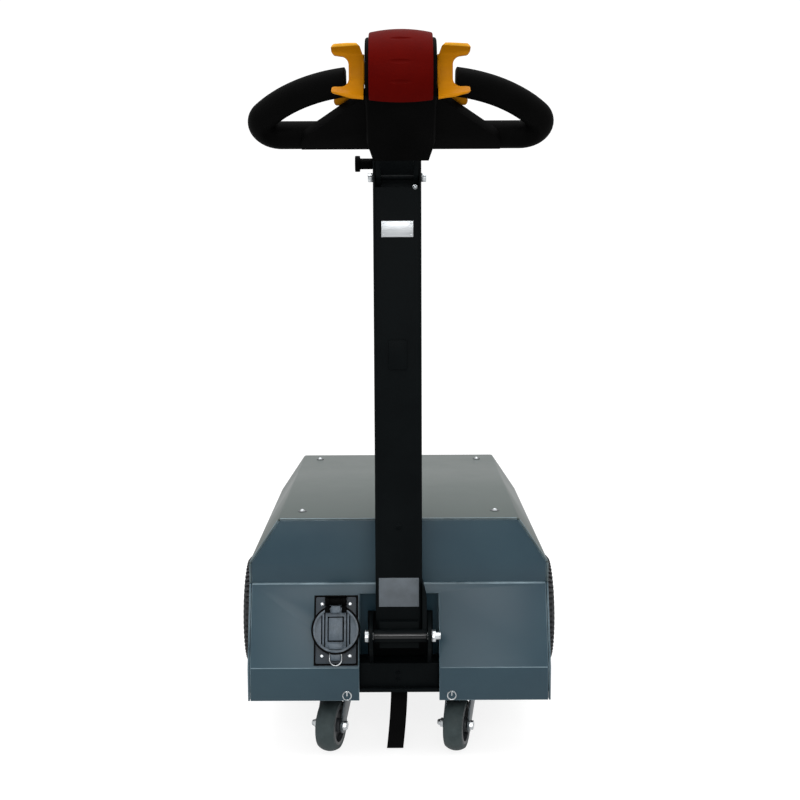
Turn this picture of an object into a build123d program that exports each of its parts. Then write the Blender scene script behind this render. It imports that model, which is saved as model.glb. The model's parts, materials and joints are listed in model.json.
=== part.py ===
from build123d import *
import os
from math import cos, radians, sin, sqrt

# Walk-behind electric tow tractor, as separate pieces, in millimetres.
# +X is to the right seen from the operator's end, +Y points forwards to the tow jaw, +Z up.
# The origin is on the floor, in the middle of the machine's box.

# Hood: top, two sloping shoulders and short upright sides, folded from one sheet
SHEET = 3.0
BODY_WIDTH = 500.0
HOOD_REAR_Y = -210.2
HOOD_LENGTH = 620.0
HOOD_TOP_Z = 407.0
HOOD_TOP_WIDTH = 400.0
SHOULDER_Z = 332.0
SEAM_Z = 297.0
HOOD_BEND = 6.0
END_PLATE_INSET = 1.5
SEAM_GAP = 0.5

# Lower body panels
UNDERSIDE_Z = 111.0
SKIRT_STEP = 52.0
SKIRT_TOP_Z = 167.0
PANEL_GAP = 1.0
PANEL_BEND = 4.0
PANEL_RETURN = 14.0
TOP_FLANGE = 18.0
NOTCH_SIDE_GAP = 11.5
NOTCH_DROP = 17.0
RECESS_GAP = 0.5

# Drive wheels and axle
WHEEL_RADIUS = 112.0
TYRE_WIDTH = 68.0
TYRE_SHOULDER = 27.0
TYRE_CROWN = 11.0
TYRE_TUCK = 7.0
AXLE_FROM_FRONT = 146.0
ARCH_CLEARANCE = 14.0
BEAD_RADIUS = 53.0
BEAD_GAP = 0.3
RIM_WIDTH = 48.0
RIM_WALL = 5.0
RIM_DISC = 6.0
RIM_DISC_OFFSET = 6.0
RIM_HOLE_RADIUS = 6.0
RIM_HOLES = 5
HUB_RADIUS = 22.0
HUB_INNER = 32.0
HUB_OUTER = 24.0
SHAFT_RADIUS = 12.7
RUNNING_GAP = 0.05
AXLE_TUBE_RADIUS = 20.0
AXLE_TUBE_GAP = 8.0
SADDLE_GAP = 0.3
GEARCASE_RADIUS = 62.0
GEARCASE_WIDTH = 90.0
MOTOR_RADIUS = 52.0
MOTOR_LENGTH = 150.0
NUT_RADIUS = 17.0
NUT_WIDTH = 8.0
NUT_GAP = 0.5

# Chassis and batteries
FLOOR_PLATE = 6.0
FLOOR_RISE = 13.0
FLOOR_FRONT_GAP = 5.0
RAIL_WIDTH = 34.0
RAIL_HEIGHT = 40.0
RAIL_WALL = 5.0
RAIL_SIDE_GAP = 18.0
RAIL_SETBACK = 60.0
BATTERY_LENGTH = 229.0
BATTERY_WIDTH = 139.0
BATTERY_HEIGHT = 227.0
BATTERY_SPACING = 144.0
BATTERY_SETBACK = 64.0

# Tow jaw
JAW_BACK_WIDTH = 120.0
JAW_BACK_HEIGHT = 120.0
JAW_BACK_PLATE = 8.0
JAW_Z = 190.0
JAW_GAP = 40.0
JAW_PLATE = 10.0
JAW_WIDTH = 56.0
JAW_REACH = 65.0
TOW_PIN_RADIUS = 10.25

# Casters
CASTER_SPACING = 215.0
CASTER_FROM_REAR = 49.0
CASTER_WHEEL_RADIUS = 44.5
CASTER_TYRE_WIDTH = 32.0
CASTER_TYRE_BAND = 11.0
CASTER_TRAIL = 35.0
CASTER_SWING = -15.0
CASTER_PLATE_LENGTH = 92.0
CASTER_PLATE_WIDTH = 64.0
CASTER_PLATE = 4.0
RACEWAY_RADIUS = 22.0
RACEWAY_GAP = 0.3
FORK_PLATE = 3.5
FORK_SIDE_GAP = 3.0
FORK_BRIDGE_GAP = 8.0
FORK_BRIDGE_RADIUS = 24.0
FORK_EYE_RADIUS = 13.0
KINGPIN_RADIUS = 6.0
CASTER_AXLE_RADIUS = 5.0
CASTER_HUB_RADIUS = 12.0
CASTER_NUT_RADIUS = 8.0
CASTER_NUT_WIDTH = 6.0

# Earthing strap under the floor
STRAP_WIDTH = 28.0
STRAP_THICKNESS = 2.5
STRAP_TAB = 30.0
STRAP_BEND = 8.0
STRAP_FROM_REAR = 22.0
STRAP_FLOOR_GAP = 4.0

# Tiller bracket and pivot
TILLER_GAP = 13.0
PIVOT_Z = 228.0
PIVOT_BOLT_RADIUS = 6.35
PIVOT_BARREL_RADIUS = 10.0
PIVOT_END_GAP = 1.0
BRACKET_PLATE = 6.0
BRACKET_OFFSET_X = 2.0
BRACKET_SIDE_GAP = 6.5
BRACKET_BACK_MARGIN = 4.0
BRACKET_TOP_Z = 248.0
BRACKET_GAP = 11.0
EAR_NOSE_RADIUS = 17.0
BEAM_LAP = 20.0
BEAM_TOP_Z = 171.0
BEAM_SETBACK = 11.0
BOLT_HEAD_RADIUS = 10.0
BOLT_HEAD_WIDTH = 7.0
BOLT_TAIL = 8.0
STOP_RADIUS = 9.0
STOP_GAP = 0.3

# Tiller tube
TUBE_WIDTH = 76.0
TUBE_DEPTH = 50.0
TUBE_WALL = 3.0
TUBE_CORNER = 6.0
TUBE_FOOT_Z = 226.0
TUBE_TOP_RISE = 36.5
TUBE_SLOT_DROP = 16.0
FOOT_SADDLE_HEIGHT = 44.0
GUSSET_WIDTH = 7.0
GUSSET_RISE = 58.0
GUSSET_CHAMFER = 27.0

# Tiller head: built upright about its pivot, then leant towards the operator
HEAD_PIVOT_Z = 963.5
HEAD_LEAN = 55.0
HEAD_OFFSET_X = 6.0
HEAD_BOLT_RADIUS = 4.0
HEAD_NUT_RADIUS = 8.0
HEAD_NUT_WIDTH = 8.0
NECK_SIDE_GAP = 2.0
NECK_CHEEK = 7.0
NECK_DEPTH = 24.0
NECK_EYE_RADIUS = 14.0
NECK_LENGTH = 112.0
NECK_FORK_LENGTH = 66.0
SOCKET_GAP = 0.3
QUADRANT_RADIUS = 27.0
QUADRANT_HALF_ANGLE = 28.0
INDEX_RADIUS = 21.5
INDEX_HOLE_RADIUS = 2.5
INDEX_STEP_ANGLE = 20.0
PLUNGER_KNOB_RADIUS = 12.5
PLUNGER_KNOB_WIDTH = 8.0
PLUNGER_STEM_RADIUS = 8.5
PLUNGER_STEM_LENGTH = 20.0
PLUNGER_PIN_RADIUS = 2.4
PLUNGER_PIN_GAP = 1.0

HOUSING_BASE_Z = 80.0
HOUSING_BASE_DEPTH = 60.0
HOUSING_WALL = 9.0
HOUSING_WIDTH = 102.0
HOUSING_TAPER = 45.0
HOUSING_ROUND = 4.0
NOSE_Z = 215.0
NOSE_Y = 20.0
NOSE_RADIUS = 50.5
SWITCH_WIDTH = 91.0
SWITCH_RADIUS = 62.0
SWITCH_THICKNESS = 13.0
SWITCH_CROWN = 5.0
SWITCH_ROUND = 3.0
SWITCH_RECESS_ANGLE = 1.0
SWITCH_GAP = 0.3
SWITCH_START = 18.0
SWITCH_END = 171.0
SWITCH_GROOVE_DEPTH = 1.3
SWITCH_GROOVE_WIDTH = 9.0
SWITCH_GROOVE_ROUND = 4.4
# Columns: angle round the nose in degrees, length of the groove
SWITCH_GROOVES = [(81.0, 46.0), (116.0, 56.0), (142.0, 50.0)]

GRIP_RADIUS = 21.0
GRIP_Y = 15.0
GRIP_BASE_Z = 86.0
GRIP_TURN_X = 181.0
GRIP_TURN_RADIUS = 28.0
GRIP_TURN_END = 40.0
GRIP_CURVE_RADIUS = 210.0
GRIP_END_X = 79.0
WING_LOW_Y = -13.0
WING_HIGH_Y = 4.0
WING_TIP_X = 150.0
WING_TOP_Z = 204.0
WING_ROUND = 30.0

PADDLE_OUTER_X = 98.0
PADDLE_WEB_X = 74.0
PADDLE_HUB_GAP = 2.0
PADDLE_HUB_RADIUS = 15.0
PADDLE_CURVE = 46.0
PADDLE_THICKNESS = 7.0
PADDLE_WEB_P = 20.0
PADDLE_HALF_HEIGHT = 40.0
TONGUE_GAP_FRONT = 21.0
TONGUE_GAP_REAR = 30.0
TONGUE_ROUND = 4.5
TONGUE_ROOT_ROUND = 11.0

# Charging socket on the sloping part of the rear panel
SOCKET_X = -104.5
SOCKET_DROP = 8.0
PLATE_WIDTH = 67.0
PLATE_HEIGHT = 109.0
PLATE_THICKNESS = 3.0
GASKET_MARGIN = 3.0
GASKET_THICKNESS = 1.5
SOCKET_RADIUS = 20.0
SOCKET_DEPTH = 34.0
SOCKET_FIT = 0.3
PANEL_HOLE_GAP = 4.0
LID_RADIUS = 39.0
LID_THICKNESS = 7.0
LID_GAP = 1.5
LID_DISH = 3.0
LID_RIM = 5.0
LID_TAB_WIDTH = 19.0
LID_LATCH_LENGTH = 8.0
LID_LATCH_WIDTH = 14.0
HINGE_UP = 46.0
HINGE_EAR = 8.0
HINGE_EAR_GAP = 0.3
HINGE_EYE_RADIUS = 7.0
HINGE_FOOT_DEPTH = 13.0
HINGE_PIN_RADIUS = 2.5

# Places worked out from the sizes above
HOOD_FRONT_Y = HOOD_REAR_Y + HOOD_LENGTH
SKIRT_Y = HOOD_REAR_Y - SKIRT_STEP
HALF_BODY = BODY_WIDTH / 2
HALF_INSIDE = HALF_BODY - SHEET
HALF_PANEL = HALF_INSIDE - PANEL_GAP
TRACK = BODY_WIDTH + TYRE_WIDTH - 2 * TYRE_TUCK
RAIL_OUTER = HALF_INSIDE - RAIL_SIDE_GAP
RAIL_INNER = RAIL_OUTER - RAIL_WIDTH
AXLE_Y = HOOD_FRONT_Y - AXLE_FROM_FRONT
AXLE_Z = WHEEL_RADIUS
ARCH_RADIUS = WHEEL_RADIUS + ARCH_CLEARANCE
FLOOR_Z = UNDERSIDE_Z + FLOOR_RISE
FLOOR_TOP_Z = FLOOR_Z + FLOOR_PLATE
FLOOR_REAR_Y = SKIRT_Y + SHEET
FLOOR_FRONT_Y = AXLE_Y - ARCH_RADIUS - FLOOR_FRONT_GAP
TUBE_FRONT_Y = HOOD_REAR_Y - TILLER_GAP
TUBE_REAR_Y = TUBE_FRONT_Y - TUBE_DEPTH
TUBE_Y = TUBE_FRONT_Y - TUBE_DEPTH / 2
PIVOT_Y = TUBE_REAR_Y - PIVOT_BARREL_RADIUS
TUBE_TOP_Z = HEAD_PIVOT_Z + TUBE_TOP_RISE
BRACKET_Y = TUBE_FRONT_Y + BRACKET_GAP
BRACKET_INSIDE = TUBE_WIDTH + 2 * BRACKET_SIDE_GAP
BRACKET_BACK_WIDTH = BRACKET_INSIDE + 2 * (BRACKET_PLATE + BRACKET_BACK_MARGIN)
EAR_LEFT_X = BRACKET_OFFSET_X - BRACKET_INSIDE / 2
EAR_RIGHT_X = BRACKET_OFFSET_X + BRACKET_INSIDE / 2
NOTCH_WIDTH = BRACKET_BACK_WIDTH + 2 * NOTCH_SIDE_GAP
NOTCH_TOP_Z = SEAM_Z - NOTCH_DROP
BEAM_WIDTH = NOTCH_WIDTH + 2 * BEAM_LAP
BEAM_REAR_Y = SKIRT_Y + BEAM_SETBACK
RECESS_Y = BRACKET_Y + BRACKET_PLATE + RECESS_GAP
CASTER_Y = HOOD_REAR_Y + CASTER_FROM_REAR
SLOPE_LENGTH = sqrt(SKIRT_STEP ** 2 + (SEAM_Z - SKIRT_TOP_Z) ** 2)
SLOPE_NORMAL = (0, -(SEAM_Z - SKIRT_TOP_Z) / SLOPE_LENGTH, SKIRT_STEP / SLOPE_LENGTH)
SOCKET_Z = (SEAM_Z + SKIRT_TOP_Z) / 2 - SOCKET_DROP
SOCKET_Y = HOOD_REAR_Y - SKIRT_STEP * (SEAM_Z - SOCKET_Z) / (SEAM_Z - SKIRT_TOP_Z)
SLOPE = Plane((SOCKET_X, SOCKET_Y, SOCKET_Z), x_dir=(1, 0, 0), z_dir=SLOPE_NORMAL)
PLATE_TOP = GASKET_THICKNESS + PLATE_THICKNESS
HINGE_OUT = PLATE_TOP + LID_GAP + HINGE_EYE_RADIUS
NECK_WIDTH = TUBE_WIDTH - 2 * (TUBE_WALL + NECK_SIDE_GAP)
HOUSING_BASE_WIDTH = NECK_WIDTH + 2 * HOUSING_WALL
HEAD = Pos(HEAD_OFFSET_X, TUBE_Y, HEAD_PIVOT_Z) * Rot(HEAD_LEAN, 0, 0)
NECK_PLACE = Pos(0, TUBE_Y, HEAD_PIVOT_Z) * Rot(HEAD_LEAN, 0, 0)


def block(x, y, z):
    """A box between a low and a high value on each axis."""
    size = (x[1] - x[0], y[1] - y[0], z[1] - z[0])
    middle = ((x[0] + x[1]) / 2, (y[0] + y[1]) / 2, (z[0] + z[1]) / 2)
    return Pos(*middle) * Box(*size)


def rod_x(radius, x, y, z):
    """A round rod along X."""
    return Pos((x[0] + x[1]) / 2, y, z) * Rot(0, 90, 0) * Cylinder(radius, x[1] - x[0])


def rod_y(radius, x, y, z):
    """A round rod along Y."""
    return Pos(x, (y[0] + y[1]) / 2, z) * Rot(90, 0, 0) * Cylinder(radius, y[1] - y[0])


def rod_z(radius, x, y, z):
    """A round rod along Z."""
    return Pos(x, y, (z[0] + z[1]) / 2) * Cylinder(radius, z[1] - z[0])


def hexagon_x(radius, x, y, z):
    """A hexagon head or nut along X."""
    outline = Pos(y, z) * RegularPolygon(radius, 6)
    return along_x(outline, x)


def along_x(outline, x):
    """Extrude an outline drawn in Y and Z between two values of X."""
    plane = Plane((x[0], 0, 0), x_dir=(0, 1, 0), z_dir=(1, 0, 0))
    return extrude(plane * outline, x[1] - x[0], dir=(1, 0, 0))


def along_y(outline, y):
    """Extrude an outline drawn in X and Z between two values of Y."""
    plane = Plane((0, y[0], 0), x_dir=(1, 0, 0), z_dir=(0, -1, 0))
    return extrude(plane * outline, y[1] - y[0], dir=(0, 1, 0))


def along_z(outline, z):
    """Extrude an outline drawn in X and Y between two values of Z."""
    return extrude(Pos(0, 0, z[0]) * outline, z[1] - z[0], dir=(0, 0, 1))


def turned_x(outline):
    """Revolve an outline drawn as distance along X and radius about the X axis."""
    return revolve(outline, Axis.X)


def frame_rectangle(x, y):
    """A rectangle outline between a low and a high value on each axis."""
    return Pos((x[0] + x[1]) / 2, (y[0] + y[1]) / 2) * Rectangle(x[1] - x[0], y[1] - y[0])


def hood_outline():
    """The hood's cross-section, carried on below the seam so that its foot can be trimmed."""
    low = SEAM_Z - 10 * SHEET
    half_top = HOOD_TOP_WIDTH / 2
    right = [(HALF_BODY, low), (HALF_BODY, SHOULDER_Z), (half_top, HOOD_TOP_Z)]
    left = [(-x, z) for x, z in reversed(right)]
    outline = Polygon(*right, *left, align=None)
    bends = [corner for corner in outline.vertices() if corner.Y > SEAM_Z]
    return fillet(bends, HOOD_BEND)


def above_seam():
    """Everything above the seam between hood and lower body."""
    return frame_rectangle((-BODY_WIDTH, BODY_WIDTH), (SEAM_Z, 2 * HOOD_TOP_Z))


def hood():
    outline = hood_outline()
    skin = (outline - offset(outline, -SHEET)) & above_seam()
    return along_y(skin, (HOOD_REAR_Y, HOOD_FRONT_Y))


def end_plate(outer_y, inwards):
    """The plate that closes one end of the hood, set in a little from the sheet's edge."""
    outline = offset(hood_outline(), -(SHEET + SEAM_GAP)) & above_seam()
    first = outer_y + inwards * END_PLATE_INSET
    last = first + inwards * SHEET
    return along_y(outline, (min(first, last), max(first, last)))


def side_outline():
    """The lower body's side: sloping rear face above an upright skirt."""
    corners = [
        (HOOD_REAR_Y, SEAM_Z),
        (SKIRT_Y, SKIRT_TOP_Z),
        (SKIRT_Y, UNDERSIDE_Z),
        (HOOD_FRONT_Y, UNDERSIDE_Z),
        (HOOD_FRONT_Y, SEAM_Z),
    ]
    return Polygon(*corners, align=None)


def side_panel(side):
    outline = side_outline() - Pos(AXLE_Y, AXLE_Z) * Circle(ARCH_RADIUS)
    edges = sorted((side * HALF_INSIDE, side * HALF_BODY))
    return along_x(outline, edges)


def rear_panel():
    """Folded pan with a top flange and side returns, notched for the tiller, with a recess in the notch."""
    inner_y = HOOD_REAR_Y + 4 * TOP_FLANGE
    low = UNDERSIDE_Z - 2 * PANEL_RETURN
    corners = [
        (HOOD_REAR_Y, SEAM_Z),
        (SKIRT_Y, SKIRT_TOP_Z),
        (SKIRT_Y, low),
        (inner_y, low),
        (inner_y, SEAM_Z),
    ]
    outline = Polygon(*corners, align=None)
    bends = [corner for corner in outline.vertices() if corner.X < inner_y - SHEET and corner.Y > low + SHEET]
    outline = fillet(bends, PANEL_BEND)
    keep = frame_rectangle((2 * SKIRT_Y, HOOD_REAR_Y + TOP_FLANGE), (UNDERSIDE_Z, SEAM_Z))
    skin = (outline - offset(outline, -SHEET)) & keep
    above_floor = frame_rectangle((2 * SKIRT_Y, HOOD_REAR_Y + TOP_FLANGE), (FLOOR_TOP_Z, SEAM_Z))
    edge = (outline - offset(outline, -PANEL_RETURN)) & above_floor
    panel = along_x(skin, (-HALF_PANEL, HALF_PANEL))
    for side in (-1, 1):
        panel += along_x(edge, sorted((side * (HALF_PANEL - SHEET), side * HALF_PANEL)))
    half_notch = NOTCH_WIDTH / 2
    panel -= block((-half_notch, half_notch), (2 * SKIRT_Y, 0), (0, NOTCH_TOP_Z))
    recess_y = (RECESS_Y, RECESS_Y + SHEET)
    cheek = outline & frame_rectangle((2 * SKIRT_Y, recess_y[1]), (BEAM_TOP_Z, SEAM_Z))
    for side in (-1, 1):
        panel += along_x(cheek, sorted((side * half_notch, side * (half_notch + SHEET))))
    panel += block((-half_notch, half_notch), recess_y, (BEAM_TOP_Z, SEAM_Z))
    return panel - SLOPE * Cylinder(SOCKET_RADIUS + PANEL_HOLE_GAP, 2 * SOCKET_DEPTH)


def front_panel():
    return block((-HALF_INSIDE, HALF_INSIDE), (HOOD_FRONT_Y - SHEET, HOOD_FRONT_Y), (UNDERSIDE_Z, SEAM_Z))


def floor_plate():
    return block((-HALF_INSIDE, HALF_INSIDE), (FLOOR_REAR_Y, FLOOR_FRONT_Y), (FLOOR_Z, FLOOR_TOP_Z))


def chassis_rail(side):
    """Channel rail on the floor plate, open inwards, with a saddle for the axle tube."""
    top = FLOOR_TOP_Z + RAIL_HEIGHT
    inside = (FLOOR_TOP_Z + RAIL_WALL, top - RAIL_WALL)
    section = frame_rectangle((RAIL_INNER, RAIL_OUTER), (FLOOR_TOP_Z, top))
    section -= frame_rectangle((RAIL_INNER, RAIL_OUTER - RAIL_WALL), inside)
    if side < 0:
        section = mirror(section, about=Plane.YZ)
    rail = along_y(section, (HOOD_REAR_Y + RAIL_SETBACK, HOOD_FRONT_Y - SHEET))
    return rail - rod_x(AXLE_TUBE_RADIUS + SADDLE_GAP, (-HALF_BODY, HALF_BODY), AXLE_Y, AXLE_Z)


def transaxle():
    """Gearcase with its axle tubes, and the shafts that carry the drive wheels."""
    half_case = GEARCASE_WIDTH / 2
    tube_end = TRACK / 2 - HUB_INNER - AXLE_TUBE_GAP
    nut_start = TRACK / 2 + HUB_OUTER + NUT_GAP
    case = rod_x(GEARCASE_RADIUS, (-half_case, half_case), AXLE_Y, AXLE_Z)
    case += rod_z(MOTOR_RADIUS, 0, AXLE_Y, (AXLE_Z, AXLE_Z + GEARCASE_RADIUS))
    case += rod_x(AXLE_TUBE_RADIUS, (-tube_end, tube_end), AXLE_Y, AXLE_Z)
    case += rod_x(SHAFT_RADIUS, (-nut_start - NUT_WIDTH, nut_start + NUT_WIDTH), AXLE_Y, AXLE_Z)
    for side in (-1, 1):
        nut = sorted((side * nut_start, side * (nut_start + NUT_WIDTH)))
        case += hexagon_x(NUT_RADIUS, nut, AXLE_Y, AXLE_Z)
    return case


def drive_motor():
    """The motor stands on the gearcase."""
    foot = AXLE_Z + GEARCASE_RADIUS
    return rod_z(MOTOR_RADIUS, 0, AXLE_Y, (foot, foot + MOTOR_LENGTH))


def tyre_outline():
    """Half of the drive tyre's section turned about its axle: bead, bulged wall and round crown."""
    half_rim = RIM_WIDTH / 2
    shoulder_radius = WHEEL_RADIUS - TYRE_CROWN
    wall_radius = (BEAD_RADIUS + shoulder_radius) / 2
    crown = ThreePointArc(
        (-TYRE_SHOULDER, shoulder_radius), (0, WHEEL_RADIUS), (TYRE_SHOULDER, shoulder_radius)
    )
    right = ThreePointArc(
        (TYRE_SHOULDER, shoulder_radius), (TYRE_WIDTH / 2, wall_radius), (half_rim, BEAD_RADIUS)
    )
    bead = Line((half_rim, BEAD_RADIUS), (-half_rim, BEAD_RADIUS))
    left = ThreePointArc(
        (-half_rim, BEAD_RADIUS), (-TYRE_WIDTH / 2, wall_radius), (-TYRE_SHOULDER, shoulder_radius)
    )
    return make_face(Curve() + [crown, right, bead, left])


def drive_tyre(side):
    return Pos(side * TRACK / 2, AXLE_Y, AXLE_Z) * turned_x(tyre_outline())


def drive_rim(side):
    """Pressed wheel: barrel, disc with a ring of holes, and a bored hub."""
    seat = BEAD_RADIUS - BEAD_GAP
    half_rim = RIM_WIDTH / 2
    disc_from = RIM_DISC_OFFSET
    section = frame_rectangle((-half_rim, half_rim), (seat - RIM_WALL, seat))
    section += frame_rectangle((disc_from, disc_from + RIM_DISC), (HUB_RADIUS, seat))
    section += frame_rectangle((-HUB_INNER, HUB_OUTER), (SHAFT_RADIUS + RUNNING_GAP, HUB_RADIUS))
    rim = turned_x(section)
    hole_circle = (HUB_RADIUS + seat - RIM_WALL) / 2
    hole = rod_x(RIM_HOLE_RADIUS, (disc_from - RIM_DISC, disc_from + 2 * RIM_DISC), 0, hole_circle)
    for number in range(RIM_HOLES):
        rim -= Rot(number * 360 / RIM_HOLES, 0, 0) * hole
    if side < 0:
        rim = mirror(rim, about=Plane.YZ)
    return Pos(side * TRACK / 2, AXLE_Y, AXLE_Z) * rim


def batteries():
    """Two sealed battery blocks side by side on the floor plate."""
    rear = HOOD_REAR_Y + BATTERY_SETBACK
    half_width = BATTERY_WIDTH / 2
    blocks = []
    for side in (-1, 1):
        middle = side * BATTERY_SPACING / 2
        width = (middle - half_width, middle + half_width)
        height = (FLOOR_TOP_Z, FLOOR_TOP_Z + BATTERY_HEIGHT)
        blocks.append(block(width, (rear, rear + BATTERY_LENGTH), height))
    return Compound(children=blocks)


def tow_jaw():
    """Two round-nosed plates on a back plate, bored for the tow pin."""
    half_back = JAW_BACK_WIDTH / 2
    back_y = (HOOD_FRONT_Y, HOOD_FRONT_Y + JAW_BACK_PLATE)
    back_z = (JAW_Z - JAW_BACK_HEIGHT / 2, JAW_Z + JAW_BACK_HEIGHT / 2)
    half_jaw = JAW_WIDTH / 2
    bore_y = HOOD_FRONT_Y + JAW_REACH - half_jaw
    tongue = frame_rectangle((-half_jaw, half_jaw), (back_y[1], bore_y))
    tongue += Pos(0, bore_y) * Circle(half_jaw)
    tongue -= Pos(0, bore_y) * Circle(TOW_PIN_RADIUS)
    jaw = block((-half_back, half_back), back_y, back_z)
    for low in (JAW_Z - JAW_GAP / 2 - JAW_PLATE, JAW_Z + JAW_GAP / 2):
        jaw += along_z(tongue, (low, low + JAW_PLATE))
    return jaw


def fork_top():
    """Height of the top of the caster fork's bridge, under the raceway."""
    return 2 * CASTER_WHEEL_RADIUS + FORK_BRIDGE_GAP + FORK_PLATE


def caster_place(side):
    return Pos(side * CASTER_SPACING / 2, CASTER_Y, 0)


def caster_plate(side):
    """Top plate under the floor, with its raceway and the kingpin that the fork turns on."""
    half_width = CASTER_PLATE_WIDTH / 2
    half_length = CASTER_PLATE_LENGTH / 2
    under = FLOOR_Z - CASTER_PLATE
    bridge_top = fork_top()
    head = (bridge_top - FORK_PLATE - FORK_BRIDGE_GAP / 2, bridge_top - FORK_PLATE - RACEWAY_GAP)
    plate = block((-half_width, half_width), (-half_length, half_length), (under, FLOOR_Z))
    plate += rod_z(RACEWAY_RADIUS, 0, 0, (bridge_top + RACEWAY_GAP, under))
    plate += rod_z(KINGPIN_RADIUS, 0, 0, (head[0], under))
    plate += rod_z(2 * KINGPIN_RADIUS, 0, 0, head)
    return caster_place(side) * plate


def fork_leg_outline():
    """Side of the caster fork: wide under the bridge, tapering back to the axle's eye."""
    top = fork_top()
    reach = FORK_BRIDGE_RADIUS
    eye = (-CASTER_TRAIL, CASTER_WHEEL_RADIUS)
    return Polygon(
        (reach, top),
        (reach, top - 3 * FORK_PLATE),
        (eye[0] + FORK_EYE_RADIUS, eye[1]),
        (eye[0] - FORK_EYE_RADIUS, eye[1]),
        (-reach, top - 3 * FORK_PLATE),
        (-reach, top),
        align=None,
    )


def caster_fork(side):
    """Folded fork with its axle bolt: it swivels on the kingpin."""
    inside = CASTER_TYRE_WIDTH / 2 + FORK_SIDE_GAP
    outside = inside + FORK_PLATE
    top = fork_top()
    axle = (-CASTER_TRAIL, CASTER_WHEEL_RADIUS)
    fork = block((-outside, outside), (-FORK_BRIDGE_RADIUS, FORK_BRIDGE_RADIUS), (top - FORK_PLATE, top))
    for leg in ((-outside, -inside), (inside, outside)):
        fork += along_x(fork_leg_outline(), leg)
        fork += rod_x(FORK_EYE_RADIUS, leg, *axle)
    fork -= rod_z(KINGPIN_RADIUS + RUNNING_GAP, 0, 0, (top - 2 * FORK_PLATE, top + FORK_PLATE))
    fork += rod_x(CASTER_AXLE_RADIUS, (-outside, outside), *axle)
    for nut in ((-outside - CASTER_NUT_WIDTH, -outside), (outside, outside + CASTER_NUT_WIDTH)):
        fork += hexagon_x(CASTER_NUT_RADIUS, nut, *axle)
    return caster_place(side) * Rot(0, 0, CASTER_SWING) * fork


def caster_axle_place(side):
    return caster_place(side) * Rot(0, 0, CASTER_SWING) * Pos(0, -CASTER_TRAIL, CASTER_WHEEL_RADIUS)


def caster_tyre(side):
    """Round-shouldered rubber band on the caster's wheel centre."""
    half = CASTER_TYRE_WIDTH / 2
    inner = CASTER_WHEEL_RADIUS - CASTER_TYRE_BAND
    edge = CASTER_WHEEL_RADIUS - CASTER_TYRE_BAND / 2
    crown = ThreePointArc((-half, edge), (0, CASTER_WHEEL_RADIUS), (half, edge))
    walls = Polyline((half, edge), (half, inner), (-half, inner), (-half, edge))
    return caster_axle_place(side) * turned_x(make_face(Curve() + [crown, walls]))


def caster_centre(side):
    """Wheel centre: rim, thin web and a bored hub as wide as the fork allows."""
    half = CASTER_TYRE_WIDTH / 2
    seat = CASTER_WHEEL_RADIUS - CASTER_TYRE_BAND - BEAD_GAP
    bore = CASTER_AXLE_RADIUS + RUNNING_GAP
    hub = CASTER_HUB_RADIUS
    reach = half + FORK_SIDE_GAP / 2
    section = frame_rectangle((-half, half), (seat - RIM_WALL, seat))
    section += frame_rectangle((-half / 2, half / 2), (hub, seat))
    section += frame_rectangle((-reach, reach), (bore, hub))
    return caster_axle_place(side) * turned_x(section)


def earth_strap():
    """Flat strap: a tab under the floor plate, bent down and hanging just clear of the ground."""
    hang_y = BEAM_REAR_Y + STRAP_FROM_REAR + STRAP_TAB
    path = FilletPolyline(
        (hang_y + STRAP_TAB, FLOOR_Z - STRAP_THICKNESS / 2),
        (hang_y, FLOOR_Z - STRAP_THICKNESS / 2),
        (hang_y, STRAP_FLOOR_GAP),
        radius=STRAP_BEND,
    )
    half = STRAP_WIDTH / 2
    return along_x(trace(path, STRAP_THICKNESS), (-half, half))


def rear_beam():
    """Folded beam behind the notch, which carries the tiller bracket."""
    half = BEAM_WIDTH / 2
    wall = block((-half, half), (BEAM_REAR_Y, BEAM_REAR_Y + BRACKET_PLATE), (FLOOR_TOP_Z, BEAM_TOP_Z))
    top_y = (BEAM_REAR_Y, BRACKET_Y + BRACKET_PLATE)
    return wall + block((-half, half), top_y, (BEAM_TOP_Z - BRACKET_PLATE, BEAM_TOP_Z))


def ear_outline():
    """Side of a bracket ear: from the back plate out to a round nose at the pivot."""
    nose = (PIVOT_Y, PIVOT_Z)
    ear = Polygon(
        (BRACKET_Y, BEAM_TOP_Z),
        (BRACKET_Y, BRACKET_TOP_Z),
        (TUBE_Y, BRACKET_TOP_Z),
        (nose[0], nose[1] + EAR_NOSE_RADIUS),
        (nose[0] - EAR_NOSE_RADIUS, nose[1]),
        (nose[0] - EAR_NOSE_RADIUS, nose[1] - EAR_NOSE_RADIUS),
        (BEAM_REAR_Y, BEAM_TOP_Z),
        align=None,
    )
    return ear + Pos(*nose) * Circle(EAR_NOSE_RADIUS)


def tiller_bracket():
    """Back plate with two ears that hold the pivot bolt."""
    half = BRACKET_BACK_WIDTH / 2
    back_x = (BRACKET_OFFSET_X - half, BRACKET_OFFSET_X + half)
    bracket = block(back_x, (BRACKET_Y, BRACKET_Y + BRACKET_PLATE), (BEAM_TOP_Z, BRACKET_TOP_Z))
    for ear in ((EAR_LEFT_X - BRACKET_PLATE, EAR_LEFT_X), (EAR_RIGHT_X, EAR_RIGHT_X + BRACKET_PLATE)):
        bracket += along_x(ear_outline(), ear)
    bore = (EAR_LEFT_X - 2 * BRACKET_PLATE, EAR_RIGHT_X + 2 * BRACKET_PLATE)
    return bracket - rod_x(PIVOT_BOLT_RADIUS + RUNNING_GAP, bore, PIVOT_Y, PIVOT_Z)


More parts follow.
